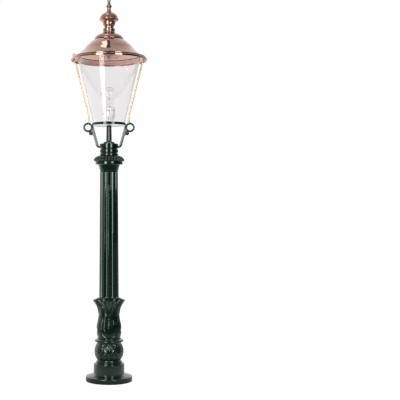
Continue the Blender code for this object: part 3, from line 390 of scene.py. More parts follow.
def drawn_metal(name, dark, light, roughness):
    """Drawn rod or wire, dulled unevenly by handling."""
    finish = Finish(name)
    clouds = finish.noise(finish.place(), 12.0, 3.0)
    marks = finish.noise(finish.place(), 800.0, 2.0)
    finish.set(Base_Color=finish.ramp(clouds, (0.3, dark), (0.7, light)), Metallic=1.0)
    finish.set(Roughness=roughness + (clouds - 0.5) * 0.10 + (marks - 0.5) * 0.05)
    return finish.owner


SPUN = (900.0, 16.0)
SMALL_TURNED = (1500.0, 60.0)
COPPER = turned_metal("polished_copper", (0.62, 0.345, 0.275), (0.74, 0.43, 0.35), 0.09, *SPUN, 0.8)
SATIN_COPPER = turned_metal("satin_copper", (0.53, 0.31, 0.25), (0.65, 0.39, 0.325), 0.24, *SPUN, 0.5)
BRASS = turned_metal("turned_brass", (0.42, 0.31, 0.21), (0.56, 0.44, 0.31), 0.20, *SMALL_TURNED)
ROD_BRASS = drawn_metal("drawn_brass", (0.78, 0.62, 0.36), (0.88, 0.73, 0.46), 0.30)
STEEL = drawn_metal("plated_steel", (0.42, 0.43, 0.44), (0.58, 0.59, 0.60), 0.32)
print("metals:", [metal.name for metal in (COPPER, SATIN_COPPER, BRASS, ROD_BRASS, STEEL)])


# %% [markdown]
# ## Porcelain, enamel, glass and wire
# The lampholder is white porcelain under a clear glaze, and the lantern's floor is enamelled sheet. Here the
# porcelain is coloured a mid grey: painted shade, darker than white, that keeps the bright lamps from bleaching the
# holder. Clear glass is a Principled shader with full transmission. Lamps would stop at it, so a Mix Shader swaps in
# a
# Transparent shader for shadow rays, and the light reaches what stands inside.

# %% Mix the white and clear finishes
GLASS_IOR = 1.52


def glazed_white(name, dark, light, roughness):
    finish = Finish(name)
    place = finish.place()
    cloud = finish.noise(place, 40.0, 3.0)
    finish.set(Base_Color=finish.ramp(cloud, (0.3, dark), (0.7, light)), Roughness=roughness + cloud * 0.08)
    finish.set(Normal=finish.bump(finish.noise(place, 220.0, 2.0), 0.06, 0.0006), Coat_Weight=0.4)
    return finish.owner


def clear_glass(name, tint, wave_scale, wave_depth):
    """Clear glass with the faint waves of a drawn sheet."""
    finish = Finish(name)
    waves = finish.noise(finish.place(), wave_scale, 1.0)
    finish.set(Base_Color=(*tint, 1.0), Roughness=0.0, IOR=GLASS_IOR, Transmission_Weight=1.0)
    finish.set(Normal=finish.bump(waves, 0.02, wave_depth))
    ray = finish.node("ShaderNodeLightPath", output="Is Shadow Ray")
    through = finish.node("ShaderNodeBsdfTransparent", inputs={"Color": (*tint, 1.0)})
    solid = Value(finish, finish.shader.outputs["BSDF"])
    finish.output(finish.node("ShaderNodeMixShader", inputs={0: ray, 1: solid, 2: through}))
    return finish.owner


# The porcelain's mid-grey colour is painted shade, because white porcelain would render too bright under these lamps.
PORCELAIN_PAINTED_SHADE = glazed_white("glazed_porcelain_painted_shade", (0.50, 0.49, 0.48), (0.56, 0.55, 0.54), 0.10)
ENAMEL = glazed_white("white_enamel", (0.84, 0.84, 0.84), (0.90, 0.90, 0.90), 0.18)
LANTERN_GLASS = clear_glass("lantern_glass", (0.935, 0.926, 0.932), 9.0, 0.0003)
BULB_GLASS = clear_glass("bulb_glass", (0.985, 0.985, 0.985), 30.0, 0.0001)
WIRE = drawn_metal("lamp_wire", (0.16, 0.15, 0.15), (0.26, 0.25, 0.24), 0.35)
print("whites and glass ready")


# %% [markdown]
# ## Drawing and turning
# Nearly everything on this lamp was turned, spun or cast from a turned pattern. By hand one would put down a
# vertex, extrude it along half the outline and spin it about the axis, so that is what this helper does. Round
# stretches of an outline are arcs, and hollow or swelling ones are Bezier curves.

# %% Outline helpers and the turning operator
MERGE_GAP = 0.000002


def arc(centre, radius, start, end, steps):
    """Points on a circle between two angles in degrees."""
    angles = [math.radians(start + (end - start) * step / steps) for step in range(steps + 1)]
    return [(centre[0] + radius * math.cos(a), centre[1] + radius * math.sin(a)) for a in angles]


def swell(start, pull_out, pull_in, end, steps):
    """Points on a cubic curve, without its last point."""
    points = []
    for step in range(steps):
        t = step / steps
        weights = ((1 - t) ** 3, 3 * t * (1 - t) ** 2, 3 * t * t * (1 - t), t ** 3)
        points.append(tuple(sum(w * p[axis] for w, p in zip(weights, (start, pull_out, pull_in, end)))
                            for axis in (0, 1)))
    return points


def line(start, end, steps):
    """Evenly spaced points on a straight stretch, without its last point."""
    return [tuple(a + (b - a) * step / steps for a, b in zip(start, end)) for step in range(steps)]


def upper_edge(reach, top, rounding, steps):
    """The rounded upper edge of a disc or band."""
    return arc((reach - rounding, top - rounding), rounding, 90.0, 0.0, steps)


def lower_edge(reach, bottom, rounding, steps):
    return arc((reach - rounding, bottom + rounding), rounding, 0.0, -90.0, steps)


def select_only(piece):
    bpy.ops.object.select_all(action="DESELECT")
    bpy.context.view_layer.objects.active = piece
    piece.select_set(True)


def start_edit():
    bpy.ops.object.mode_set(mode="EDIT")
    bpy.ops.mesh.select_all(action="SELECT")


def end_edit(merge=True):
    """Merge doubled points, turn all faces outwards and leave edit mode."""
    bpy.ops.mesh.select_all(action="SELECT")
    if merge:
        bpy.ops.mesh.remove_doubles(threshold=MERGE_GAP)
    bpy.ops.mesh.normals_make_consistent(inside=False)
    bpy.ops.object.mode_set(mode="OBJECT")


def draw(path):
    """Put down one vertex and extrude it from place to place, and stay in edit mode with all of it selected."""
    bpy.ops.object.select_all(action="DESELECT")
    bpy.ops.mesh.primitive_plane_add(size=MM)
    piece = bpy.context.object
    start_edit()
    bpy.ops.mesh.merge(type="CENTER")
    bpy.ops.transform.translate(value=path[0])
    for before, after in zip(path, path[1:]):
        bpy.ops.mesh.extrude_region_move(TRANSFORM_OT_translate={"value": after - before})
    bpy.ops.mesh.select_all(action="SELECT")
    return piece


def turn(name, outline, steps=128, centre=(0.0, 0.0), closed=True):
    """Draw a (radius, height) outline in millimetres, and spin it about an upright axis."""
    x, y = centre[0] * MM, centre[1] * MM
    path = [Vector((x + radius * MM, y, height * MM)) for radius, height in outline]
    if closed:
        path.append(path[0])
    piece = draw(path)
    piece.name = piece.data.name = name
    bpy.ops.mesh.spin(steps=steps, angle=2 * math.pi, center=(x, y, 0.0), axis=(0.0, 0.0, 1.0))
    end_edit()
    return piece


print("drawing helpers ready")


# %% [markdown]
# ## Carving and dressing
# Ornament is carved into a turned blank by a rule that says, from a point's radius, height and angle, where the
# point goes. Whatever way a piece is made, it is dressed last: it gets its shading, its finish and the body that it
# rides on, and the plain working part that it stands for is hidden.

# %% Helpers to carve and to dress
SMOOTH_ANGLE = math.radians(32.0)


def read_points(piece):
    """A piece's points as rows of x, y and z, in millimetres."""
    points = np.empty(len(piece.data.vertices) * 3)
    piece.data.vertices.foreach_get("co", points)
    return points.reshape(-1, 3) / MM


def write_points(piece, points):
    piece.data.vertices.foreach_set("co", (points * MM).ravel())
    piece.data.update()


def carve(piece, rule):
    """Push the points of a turned piece by a rule on (radius, height, angle), as a carver cuts a turned blank."""
    points = read_points(piece)
    angle = np.arctan2(points[:, 1], points[:, 0])
    radius, height = rule(np.hypot(points[:, 0], points[:, 1]), points[:, 2], angle)
    write_points(piece, np.stack((radius * np.cos(angle), radius * np.sin(angle), height), axis=1))


def ease(low, high, value):
    """A smooth step from 0 at low to 1 at high."""
    t = np.clip((value - low) / (high - low), 0.0, 1.0)
    return t * t * (3 - 2 * t)


def dress(piece, body, material, node):
    """Smooth and colour a piece, let it ride on its body, and hide the node that it stands for."""
    select_only(piece)
    bpy.ops.object.shade_smooth_by_angle(angle=SMOOTH_ANGLE)
    piece.data.materials.clear()
    piece.data.materials.append(material)
    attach(piece, body)
    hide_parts(node)
    print(piece.name, len(piece.data.polygons), "faces on", body)


def dress_green(piece, node):
    dress(piece, "post", GREEN, node)


def span(node):
    """A node's reach along +X, its bottom and its top, in millimetres."""
    low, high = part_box(node)
    return high.x / MM, low.z / MM, high.z / MM


print("carving and dressing helpers ready")


# %% [markdown]
# ## The foot
# The foot is one casting: a plate with a rounded edge, a drum, and steps that seat the ball. Four bolt holes go
# through the plate. A Boolean cuts them, because their round edges would be hard to weave into a turned mesh.

# %% Turn the foot and drill it
PLATE_EDGE = 19.5
PLATE_CROWN = 25.5
DRUM_RADIUS = 58.9
DRUM_TOP = 66.5
STEP_RADIUS = 51.5
SEAT_RADIUS = 45.5
CAVITY = (50.0, 55.0)
ROD_HOLE = 8.0
HOLE_CIRCLE = 74.0
HOLE_RADIUS = 4.5
DRILL_LENGTH = 80.0
SEAT_ROUND = 4.0
STEP_RISE = 2.6
STEP_ROUND = 1.2
STEP_FILLET = 0.6
DRUM_ROUND = 1.6
DRUM_FILLET = 2.6
PLATE_ROUND = 3.6
SEAM = (0.45, 1.4)


def modify(piece, kind, **settings):
    """Add a modifier, set it up and apply it."""
    modifier = piece.modifiers.new(kind.title(), kind)
    for key, value in settings.items():
        setattr(modifier, key, value)
    bpy.context.view_layer.objects.active = piece
    bpy.ops.object.modifier_apply(modifier=modifier.name)


def combine(piece, other, operation):
    """Add or subtract a closed shape, and throw it away."""
    modify(piece, "BOOLEAN", operation=operation, solver="EXACT", object=other)
    bpy.data.objects.remove(other, do_unlink=True)


foot_radius, foot_bottom, foot_top = span("foot_casting")
outline = [(ROD_HOLE, foot_top), (SEAT_RADIUS, foot_top)]
outline += arc((SEAT_RADIUS, foot_top - SEAT_ROUND), SEAT_ROUND, 90.0, -60.0, 10)
outline += arc((STEP_RADIUS - STEP_ROUND, DRUM_TOP + STEP_RISE), STEP_ROUND, 90.0, 0.0, 5)
outline += [(STEP_RADIUS, DRUM_TOP + STEP_FILLET)]
outline += arc((STEP_RADIUS + STEP_FILLET, DRUM_TOP + STEP_FILLET), STEP_FILLET, 180.0, 270.0, 3)
outline += upper_edge(DRUM_RADIUS, DRUM_TOP, DRUM_ROUND, 6)
outline += line((DRUM_RADIUS, DRUM_TOP - 2.2), (DRUM_RADIUS, PLATE_CROWN + 3.0), 6)
outline += arc((DRUM_RADIUS + DRUM_FILLET, PLATE_CROWN + DRUM_FILLET), DRUM_FILLET, 180.0, 262.0, 6)
outline += arc((foot_radius - PLATE_ROUND, PLATE_EDGE - PLATE_ROUND), PLATE_ROUND, 78.0, 0.0, 8)
outline += lower_edge(foot_radius, foot_bottom, STEP_ROUND, 4)
outline += [(CAVITY[0] + 2.0, foot_bottom), CAVITY, (ROD_HOLE, CAVITY[1])]
foot = turn("foot", outline, 160)


def parting_line(radius, height, angle):
    """The low ridge that the two halves of the mould leave down the drum, front and back."""
    on_drum = ease(PLATE_CROWN + 1.0, PLATE_CROWN + 5.0, height) * (1.0 - ease(DRUM_TOP - 3.0, DRUM_TOP, height))
    tall, wide = SEAM
    ridge = np.exp(-(np.cos(angle) * DRUM_RADIUS / wide) ** 2)
    return radius + tall * on_drum * ridge * (radius > DRUM_RADIUS - 3.0), height


carve(foot, parting_line)
for quarter in range(4):
    bearing = math.radians(45.0 + 90.0 * quarter)
    place = Vector((math.cos(bearing), math.sin(bearing), 0.0)) * HOLE_CIRCLE * MM
    bpy.ops.object.select_all(action="DESELECT")
    bpy.ops.mesh.primitive_cylinder_add(vertices=32, radius=HOLE_RADIUS * MM, depth=DRILL_LENGTH * MM,
                                        location=place)
    combine(foot, bpy.context.object, "DIFFERENCE")
dress_green(foot, "foot_casting")


# %% [markdown]
# ## The carved ball and its ring
# The ball is cast with two rows of leaves that hang down round it, one over the gaps of the other, each leaf with a
# sunk midrib and slanting veins. A carver marks such leaves on a turned ball and cuts the ground away between them,
# so the blank is turned first, and a rule on angle and height then cuts it.

# %% Carve the ball
BALL_LEAVES = 8
BALL_ROWS = ((0.5, 0.97, 0.0), (0.0, 0.90, 0.5))
LEAF_WIDTH = 0.78
LEAF_LOBES = 0.16
LEAF_CROWN = 1.9
LEAF_CURVE = 1.1
VEINS = (4.5, 1.3, 2.4)
MIDRIB = (1.0, 0.06)
BALL_GROUND = 2.4
_, ball_bottom, ball_top = span("ball_casting")
BALL_RADIUS = 55.8
BALL_CENTRE = 112.6
BALL_BORE = 34.0
high_angle = math.degrees(math.asin((ball_top - BALL_CENTRE) / BALL_RADIUS))
low_angle = math.degrees(math.asin((ball_bottom - BALL_CENTRE) / BALL_RADIUS))
outline = arc((0.0, BALL_CENTRE), BALL_RADIUS, high_angle, low_angle, 72)
outline += [(BALL_BORE, ball_bottom), (BALL_BORE, ball_top)]
ball = turn("carved_ball", outline, 48 * BALL_LEAVES)


def leaf_turn(angle, count, offset=0.0):
    """Where a point lies across its leaf: 0 on the midrib, 1 or -1 half way to the next leaf."""
    share = (angle * count / (2 * math.pi) + offset) % 1.0
    return (share * 2.0 + 1.0) % 2.0 - 1.0


def leaf_mask(across, width, softness):
    return 1.0 - ease(width - softness, width + softness, np.abs(across))


def carved_leaves(radius, height, angle):
    fall = (ball_top - height) / (ball_top - ball_bottom)
    skin = ease(BALL_BORE + 1.0, BALL_BORE + 6.0, radius) * ease(0.0, 0.05, fall) * ease(0.0, 0.04, 1.0 - fall)
    relief = np.zeros_like(radius)
    steps, slope, veining = VEINS
    sunk, rib = MIDRIB
    for offset, tip, lift in BALL_ROWS:
        across = leaf_turn(angle - math.pi / 2, BALL_LEAVES, offset)
        aside = np.abs(across)
        along = np.clip(fall / tip, 0.0, 1.0)
        lobes = 1.0 + LEAF_LOBES * np.abs(np.sin(along * math.pi * 4.0))
        width = LEAF_WIDTH * np.sqrt(np.clip(1.0 - along ** 3.0, 0.0, 1.0)) * lobes * (fall < tip)
        mask = leaf_mask(across, width, 0.06)
        slant = (along * steps + aside * slope) % 1.0
        body = LEAF_CROWN - LEAF_CURVE * across ** 2
        body += veining * (np.abs(slant - 0.5) - 0.25) * ease(0.05, 0.25, aside)
        body += lift - sunk * np.exp(-(across / rib) ** 2)
        relief = relief * (1.0 - mask) + mask * body
    return radius + skin * (relief - BALL_GROUND), height


carve(ball, carved_leaves)
dress_green(ball, "ball_casting")

# %% [markdown]
# A thin ring parts the ball from the cup. Its round edge runs out into hollows above and below.

# %% Turn the collar ring
ring_radius, ring_bottom, ring_top = span("collar_ring")
RING_NECK = 46.5
RING_ROUND = 4.2
CUP_FOOT = 44.0
middle = (ring_bottom + ring_top) / 2
outline = [(BALL_BORE, ring_top), (CUP_FOOT + 1.0, ring_top)]
outline += swell((CUP_FOOT + 1.4, ring_top - 1.0), (47.0, middle + 4.6), (49.0, middle + 4.2),
                 (ring_radius - 3.8, middle + 4.0), 8)
outline += arc((ring_radius - RING_ROUND, middle), RING_ROUND, 75.0, -75.0, 14)
outline += swell((ring_radius - 3.8, middle - 4.0), (49.0, middle - 4.2), (47.0, middle - 4.6),
                 (RING_NECK, ring_bottom), 8)
outline += [(RING_NECK, ring_bottom), (BALL_BORE, ring_bottom)]
dress_green(turn("collar_ring_cast", outline, 144), "collar_ring")


# %% [markdown]
# ## The leaf cup
# The cup is the finest casting on the lamp. Below, each of its four sides is a broad petal of nested U shapes
# round a drop. Above the waist the petals open into leaves whose tips curl out round the shaft. The blank is
# turned with that swell, waist and flare. The carving then parts the tips, sinks the ground between the petals and
# raises the drops and the folds of the leaves.

# %% Turn the blank of the leaf cup
CUP_LEAVES = 4
CUP_TIP = (60.6, 307.0)
CUP_WAIST = (40.0, 252.0)
CUP_BELLY = (47.8, 194.0)
CUP_BORE = 28.0
CUP_SHELF = 317.5
TIP_ROUND = 1.7
SHAFT_SOCKET = 37.8
SOCKET_FLOOR = 296.0
_, cup_bottom, _ = span("leaf_cup")
outline = [(SHAFT_SOCKET, CUP_SHELF)]
outline += line((SHAFT_SOCKET + 1.2, CUP_SHELF), (CUP_TIP[0] - 1.6, CUP_TIP[1] + 1.6), 26)
outline += arc((CUP_TIP[0] - TIP_ROUND, CUP_TIP[1]), TIP_ROUND, 80.0, -25.0, 7)[:-1]
outline += swell((CUP_TIP[0] - 0.2, CUP_TIP[1] - 0.8), (50.5, 294.0), (CUP_WAIST[0], 280.0), CUP_WAIST, 40)
outline += swell(CUP_WAIST, (CUP_WAIST[0], 230.0), (CUP_BELLY[0], 220.0), CUP_BELLY, 40)
outline += swell(CUP_BELLY, (CUP_BELLY[0], 182.0), (CUP_FOOT, 170.0), (CUP_FOOT, cup_bottom), 26)
outline += [(CUP_FOOT, cup_bottom), (CUP_BORE, cup_bottom), (CUP_BORE, SOCKET_FLOOR), (SHAFT_SOCKET, SOCKET_FLOOR)]
cup = turn("leaf_cup_cast", outline, 64 * CUP_LEAVES)
print("cup blank:", len(cup.data.vertices), "points")

# %% [markdown]
# The carving rule works across one leaf at a time. A point's distance from a U-shaped edge tells whether it lies on
# a petal, in the seam round it or in its hollow, and each of these adds its own height to the relief.

# %% Carve petals and leaves
PETAL = (0.84, 192.0, 24.0, 28.0)
PETAL_RISE = 0.6
PETAL_SEAM = (1.3, 1.1)
PETAL_HOLLOW = (0.50, 204.0, 22.0, 16.0)
HOLLOW_DEPTH = 3.3
DROP = (0.13, 190.0, 248.0)
DROP_RISE = 2.6
TIER = 253.0
LEAF_TOP = 298.0
LEAF_SPREAD = (0.20, 0.85)
LEAF_RELIEF = (0.4, 1.6, 1.9)
LEAF_GROOVE = (0.9, 0.05, 0.09)
VALLEY = (18.0, 10.0)


def from_edge(across, height, shape):
    """How far a point lies outside a U-shaped edge, in millimetres, below zero inside it."""
    width, bend, fall, scale = shape
    sides = np.abs(across) / (width * (1.0 - 0.2 * ease(bend + 30.0, TIER, height)))
    return (np.hypot(sides, np.maximum(bend - height, 0.0) / fall) - 1.0) * scale


def petals_and_leaves(radius, height, angle):
    outside = ease(SHAFT_SOCKET + 1.0, SHAFT_SOCKET + 3.0, radius) * ease(cup_bottom, cup_bottom + 4.0, height)
    across = leaf_turn(angle, CUP_LEAVES)
    flat = np.abs(across)
    low = 1.0 - ease(TIER - 6.0, TIER, height)
    petal = from_edge(across, height, PETAL)
    hollow = from_edge(across, height, PETAL_HOLLOW)
    sunk, wide = PETAL_SEAM
    relief = low * (PETAL_RISE * ease(0.5, -5.0, petal) - sunk * np.exp(-(petal / wide) ** 2))
    relief -= HOLLOW_DEPTH * low * np.maximum(1.0 - (hollow / PETAL_HOLLOW[3] + 1.0) ** 2, 0.0)
    width, foot, head = DROP
    climb = np.clip((height - foot) / (head - foot), 0.0, 1.0)
    width = width * np.sqrt(np.clip(climb / 0.3, 0.0, 1.0)) * (1.0 - 0.6 * climb)
    drop = np.sqrt(np.clip(1.0 - (across / np.maximum(width, 0.001)) ** 2, 0.0, 1.0))
    relief += DROP_RISE * low * drop * ease(0.0, 0.25, climb)
    up = ease(TIER - 3.0, TIER + 2.0, height) * (1.0 - ease(CUP_TIP[1] - 0.5, CUP_TIP[1] + 2.5, height))
    narrow, widen = LEAF_SPREAD
    spread = narrow + widen * np.clip((height - TIER) / (LEAF_TOP - TIER), 0.0, 1.0)
    fan = np.clip(flat / spread, 0.0, 1.0)
    body, edge, folds = LEAF_RELIEF
    leaf = body + edge * fan ** 2 + folds * spread * np.cos(fan * 4 * math.pi)
    relief += up * leaf_mask(across, spread, 0.07) * leaf
    sunk, beside, wide = LEAF_GROOVE
    relief -= up * sunk * np.exp(-((flat - spread - beside) / wide) ** 2)
    flare = ease(CUP_WAIST[1], CUP_TIP[1], height) * ease(SHAFT_SOCKET, CUP_TIP[0], radius)
    valley = flare * ease(0.34, 0.98, flat) * outside
    back, down = VALLEY
    return radius + outside * relief - back * valley, height - down * valley


carve(cup, petals_and_leaves)
dress_green(cup, "leaf_cup")


# %% [markdown]
# ## The fluted shaft
# Twelve flutes run up the tapered shaft and end in round stops, the upper ones in the neck of the capital. A flute
# is a shallow arc, so the rule lowers each point by how deep it lies inside that arc. Rows of points gather at the
# lower stops, where the surface turns fast.

# %% Flute the shaft
FLUTES = 12
FLUTE_RADIUS = 8.2
FLUTE_DEPTH = 3.4
FLUTE_ENDS = (316.0, 800.0)
STOP_ROUND = 0.8
STOP_ROWS = (11.0, 11.4, 16)
SHAFT_ROWS = 24
SHAFT_BORE = 26.0
SHAFT_RADII = (37.2, 33.6)
_, shaft_bottom, shaft_top = span("fluted_shaft")


def shaft_radius(height):
    climb = (height - shaft_bottom) / (shaft_top - shaft_bottom)
    return SHAFT_RADII[0] + (SHAFT_RADII[1] - SHAFT_RADII[0]) * climb


above_stop, stop_length, rows = STOP_ROWS
stop_top = FLUTE_ENDS[0] + above_stop
heights = [shaft_top + (stop_top - shaft_top) * step / SHAFT_ROWS for step in range(SHAFT_ROWS + 1)]
heights += [stop_top - stop_length * step / rows for step in range(1, rows + 1)] + [shaft_bottom]
outline = [(shaft_radius(height), height) for height in heights]
outline += [(SHAFT_BORE, shaft_bottom), (SHAFT_BORE, shaft_top)]
shaft = turn("fluted_column", outline, 20 * FLUTES)


def flutes(radius, height, angle):
    surface = shaft_radius(height)
    across = leaf_turn(angle, FLUTES, 0.5) * math.pi / FLUTES * surface
    stop = FLUTE_RADIUS * STOP_ROUND
    past_end = np.maximum(FLUTE_ENDS[0] + stop - height, height - FLUTE_ENDS[1] + stop)
    away = np.hypot(across, np.maximum(past_end, 0.0))
    bite = np.sqrt(np.maximum(FLUTE_RADIUS ** 2 - away ** 2, 0.0)) - (FLUTE_RADIUS - FLUTE_DEPTH)
    depth = np.maximum(bite, 0.0)
    return np.where(radius > SHAFT_BORE + 2.0, radius - depth, radius), height


carve(shaft, flutes)
dress_green(shaft, "fluted_shaft")


# %% [markdown]
# ## The head of the post
# The head of the post is a stack of three castings: a flared neck with a flat band, a collar of rounded lobes
# called gadroons, and a grooved cap. The capital comes first. It has as many points round it as the shaft, so the
# same rule can cut the tops of the flutes into its neck.

# %% Turn and flute the capital
CAPITAL_NECK = 40.7
CAPITAL_SPIGOT = 29.5
CAPITAL_BORE = 20.0
BAND = (822.5, 833.5)
BAND_ROUND = 1.2
FIT = 0.3
band_radius, _, capital_top = span("capital")
neck_foot = shaft_top + FIT
outline = [(CAPITAL_SPIGOT, BAND[1]), (band_radius - BAND_ROUND, BAND[1])]
outline += upper_edge(band_radius, BAND[1], BAND_ROUND, 5) + lower_edge(band_radius, BAND[0], BAND_ROUND, 5)
outline += [(CAPITAL_NECK + 1.4, BAND[0]), (CAPITAL_NECK + 0.4, BAND[0] - 0.8)]
outline += swell((CAPITAL_NECK, BAND[0] - 2.0), (CAPITAL_NECK - 2.8, 812.0), (SHAFT_RADII[1] + 2.0, 804.5),
                 (SHAFT_RADII[1], neck_foot + 0.6), 32)
outline += [(SHAFT_RADII[1], neck_foot + 0.6), (SHAFT_RADII[1] - 0.6, neck_foot)]
outline += [(SHAFT_BORE, neck_foot), (CAPITAL_BORE, neck_foot), (CAPITAL_BORE, capital_top)]
outline += [(CAPITAL_SPIGOT, capital_top)]
capital = turn("capital_cast", outline, 20 * FLUTES)
carve(capital, flutes)
dress_green(capital, "capital")

# %% [markdown]
# The lobes of the collar are cut like the flutes, only that the grooves lie between them. Each lobe ends in a nose
# that stands out over the band.

# %% Carve the gadroons
GADROONS = 28
gadroon_radius, gadroon_bottom, gadroon_top = span("gadroon_collar")
GADROON_NECK = 36.5
GADROON_WIDEST = 840.0
LOBE_GROOVE = (5.6, 3.0)
LOBE_NOSE = (1.2, 4.5)
outline = [(CAPITAL_SPIGOT + FIT, gadroon_top)]
outline += swell((GADROON_NECK, gadroon_top), (45.0, gadroon_top - 1.0), (gadroon_radius, 850.0),
                 (gadroon_radius, GADROON_WIDEST), 24)
outline += swell((gadroon_radius, GADROON_WIDEST), (gadroon_radius, 837.0), (55.0, gadroon_bottom + 0.6),
                 (band_radius - 0.6, gadroon_bottom), 8)
outline += [(band_radius - 0.6, gadroon_bottom), (CAPITAL_SPIGOT + FIT, gadroon_bottom)]
gadroons = turn("gadroon_collar_cast", outline, 14 * GADROONS)


def lobes(radius, height, angle):
    """Cut grooves between round lobes, and swell each lobe into a nose over the band."""
    across = leaf_turn(angle, GADROONS)
    reach = ease(GADROON_NECK + 1.0, GADROON_NECK + 9.0, radius) * ease(gadroon_bottom, gadroon_bottom + 2.0, height)
    groove = 1.0 - np.sqrt(np.clip(1.0 - across ** 2 * 0.98, 0.0, 1.0))
    out, tall = LOBE_NOSE
    nose = np.exp(-((height - GADROON_WIDEST) / tall) ** 2) * ease(gadroon_radius - 9.0, gadroon_radius - 3.0, radius)
    back, down = LOBE_GROOVE
    return radius - reach * (back * groove - out * nose * (1.0 - groove)), height - reach * down * groove


carve(gadroons, lobes)
dress_green(gadroons, "gadroon_collar")

# %% [markdown]
# The cap is a short drum. Its two grooves have the same outline at two heights, so a loop draws both.

# %% Turn the grooved cap
cap_radius, cap_bottom, cap_top = span("post_cap")
CAP_GROOVES = (882.0, 866.5)
CAP_ROUND = 1.4
CAP_ROOF = 894.0
GROOVE_RADIUS = 3.0
GROOVE_LIP = (1.0, 3.4)
lip, lip_rise = GROOVE_LIP
outline = [(ROD_HOLE, cap_top)] + upper_edge(cap_radius, cap_top, CAP_ROUND, 6)
for groove in CAP_GROOVES:
    outline += arc((cap_radius - lip, groove + lip_rise), lip, 0.0, -50.0, 4)
    outline += arc((cap_radius + 0.2, groove), GROOVE_RADIUS, 130.0, 230.0, 8)
    outline += arc((cap_radius - lip, groove - lip_rise), lip, 50.0, 0.0, 4)
outline += [(cap_radius, cap_bottom + 0.8), (cap_radius - 0.8, cap_bottom), (CAPITAL_SPIGOT + FIT, cap_bottom)]
outline += [(CAPITAL_SPIGOT + FIT, CAP_ROOF), (ROD_HOLE, CAP_ROOF)]
dress_green(turn("post_cap_cast", outline, 128), "post_cap")


# %% [markdown]
# ## Stem, gallery and floor
# A slim stem rises from the cap to the lantern. The gallery is the hoop round the foot of the glass, and a white
# enamelled pan fills it, flush with its underside, and closes the lantern below.

# %% Turn the stem
STEM_RADII = (10.8, 9.4)
STEM_BORE = 7.0
stem_flange, stem_bottom, stem_top = span("lantern_stem")
outline = [(STEM_BORE, stem_top), (STEM_RADII[1], stem_top)]
outline += line((STEM_RADII[1], stem_top - 0.4), (STEM_RADII[0], stem_bottom + 11.0), 8)
outline += arc((STEM_RADII[0] + 2.0, stem_bottom + 10.6), 2.0, 180.0, 250.0, 5)
outline += arc((stem_flange - 3.0, stem_bottom + 3.4), 3.0, 65.0, 0.0, 7)
outline += [(stem_flange, stem_bottom), (STEM_BORE, stem_bottom)]
dress_green(turn("stem_cast", outline, 80), "lantern_stem")

# %% Turn the gallery and the pan
gallery_radius, gallery_bottom, gallery_top = span("gallery_ring")
GALLERY_WALL = 61.9
GALLERY_ROUND = 0.9
outline = [(GALLERY_WALL, gallery_top), (gallery_radius - GALLERY_ROUND, gallery_top)]
outline += upper_edge(gallery_radius, gallery_top, GALLERY_ROUND, 5)
outline += lower_edge(gallery_radius, gallery_bottom, GALLERY_ROUND, 5) + [(GALLERY_WALL, gallery_bottom)]
dress_green(turn("gallery_hoop", outline, 160), "gallery_ring")

pan_radius, _, pan_top = span("floor_pan")
pan_bottom = gallery_bottom + FIT
PAN_HOLE = 5.3
PAN_ROUND = 0.8
outline = [(PAN_HOLE, pan_top)] + upper_edge(pan_radius, pan_top, PAN_ROUND, 4)
outline += lower_edge(pan_radius, pan_bottom, PAN_ROUND, 4) + [(PAN_HOLE, pan_bottom)]
dress(turn("enamel_pan", outline, 160), "post", ENAMEL, "floor_pan")


# %% [markdown]
# ## The two arms
# Each arm is a small casting: a bar that bends out of the cap and leans up to the gallery, with a ring, a ball
# and a web between them. Castings have no sharp inner corners, so the plain shapes are joined and a voxel remesh
# and a light smoothing melt them into one skin, and the ball is fused on last. The right arm is modelled once and
# mirrored.

# %% Bars, rings and webs for the arms
ARM_PATH = ((33.0, 890.5, 0.72), (38.0, 890.3, 0.74), (42.6, 892.6, 0.86), (45.2, 898.5, 0.95), (47.4, 907.0, 1.0),
            (55.5, 936.0, 1.0), (66.2, 974.6, 1.0))
ARM_BAR = 5.3
ARM_LOOP = (80.0, 964.6)
ARM_LOOP_RADIUS = 14.6
ARM_LOOP_WIRE = 3.7
ARM_BALL = (69.5, 942.0)
ARM_BALL_RADIUS = 7.4
ARM_WEB = ((54.0, 929.0), (62.5, 934.0), (69.0, 941.0), (74.5, 951.0), (67.0, 961.0), (63.0, 966.0))
ARM_WEB_THICKNESS = 5.0
ROD_X = 75.5
BOSS_RADIUS = 4.4
BOSS_TOP = 982.0
BAR_FLATTEN = 0.75
BAR_RIDGE = 3.7
FACE_SLOPE = 0.24
WEB_SWELL = 1.6
WEB_THINNEST = 0.8
ARM_VOXEL = 0.0006


def curve_bar(name, points, radius, sides=6):
    """A round bar along (x, z, scale) points, as a mesh."""
    data = bpy.data.curves.new(name, "CURVE")
    data.dimensions = "3D"
    data.bevel_depth = radius * MM
    data.bevel_resolution = sides
    data.use_fill_caps = True
    spline = data.splines.new("POLY")
    spline.points.add(len(points) - 1)
    for knot, (x, z, scale) in zip(spline.points, points):
        knot.co = (x * MM, 0.0, z * MM, 1.0)
        knot.radius = scale
    piece = bpy.data.objects.new(name, data)
    bpy.context.scene.collection.objects.link(piece)
    select_only(piece)
    bpy.ops.object.convert(target="MESH")
    start_edit()
    end_edit()
    return bpy.context.object


def join(pieces):
    bpy.ops.object.select_all(action="DESELECT")
    for piece in pieces:
        piece.select_set(True)
    bpy.context.view_layer.objects.active = pieces[0]
    bpy.ops.object.join()
    bpy.ops.object.transform_apply(location=True, rotation=True, scale=True)
    return pieces[0]


def soften(piece, rounds):
    """Ease every point towards its neighbours."""
    modify(piece, "SMOOTH", factor=0.5, iterations=rounds)


def melt(piece, voxel, rounds):
    """Fuse overlapping shapes into one skin and soften the corners between them."""
    modify(piece, "REMESH", mode="VOXEL", voxel_size=voxel)
    soften(piece, rounds)


def standing_ring(radius, wire, x, z, segments, sides):
    """A ring of round bar that stands in the XZ plane."""
    bpy.ops.object.select_all(action="DESELECT")
    bpy.ops.mesh.primitive_torus_add(major_segments=segments, minor_segments=sides, major_radius=radius * MM,
                                     minor_radius=wire * MM, location=(x * MM, 0.0, z * MM),
                                     rotation=(math.pi / 2, 0.0, 0.0))
    return bpy.context.object


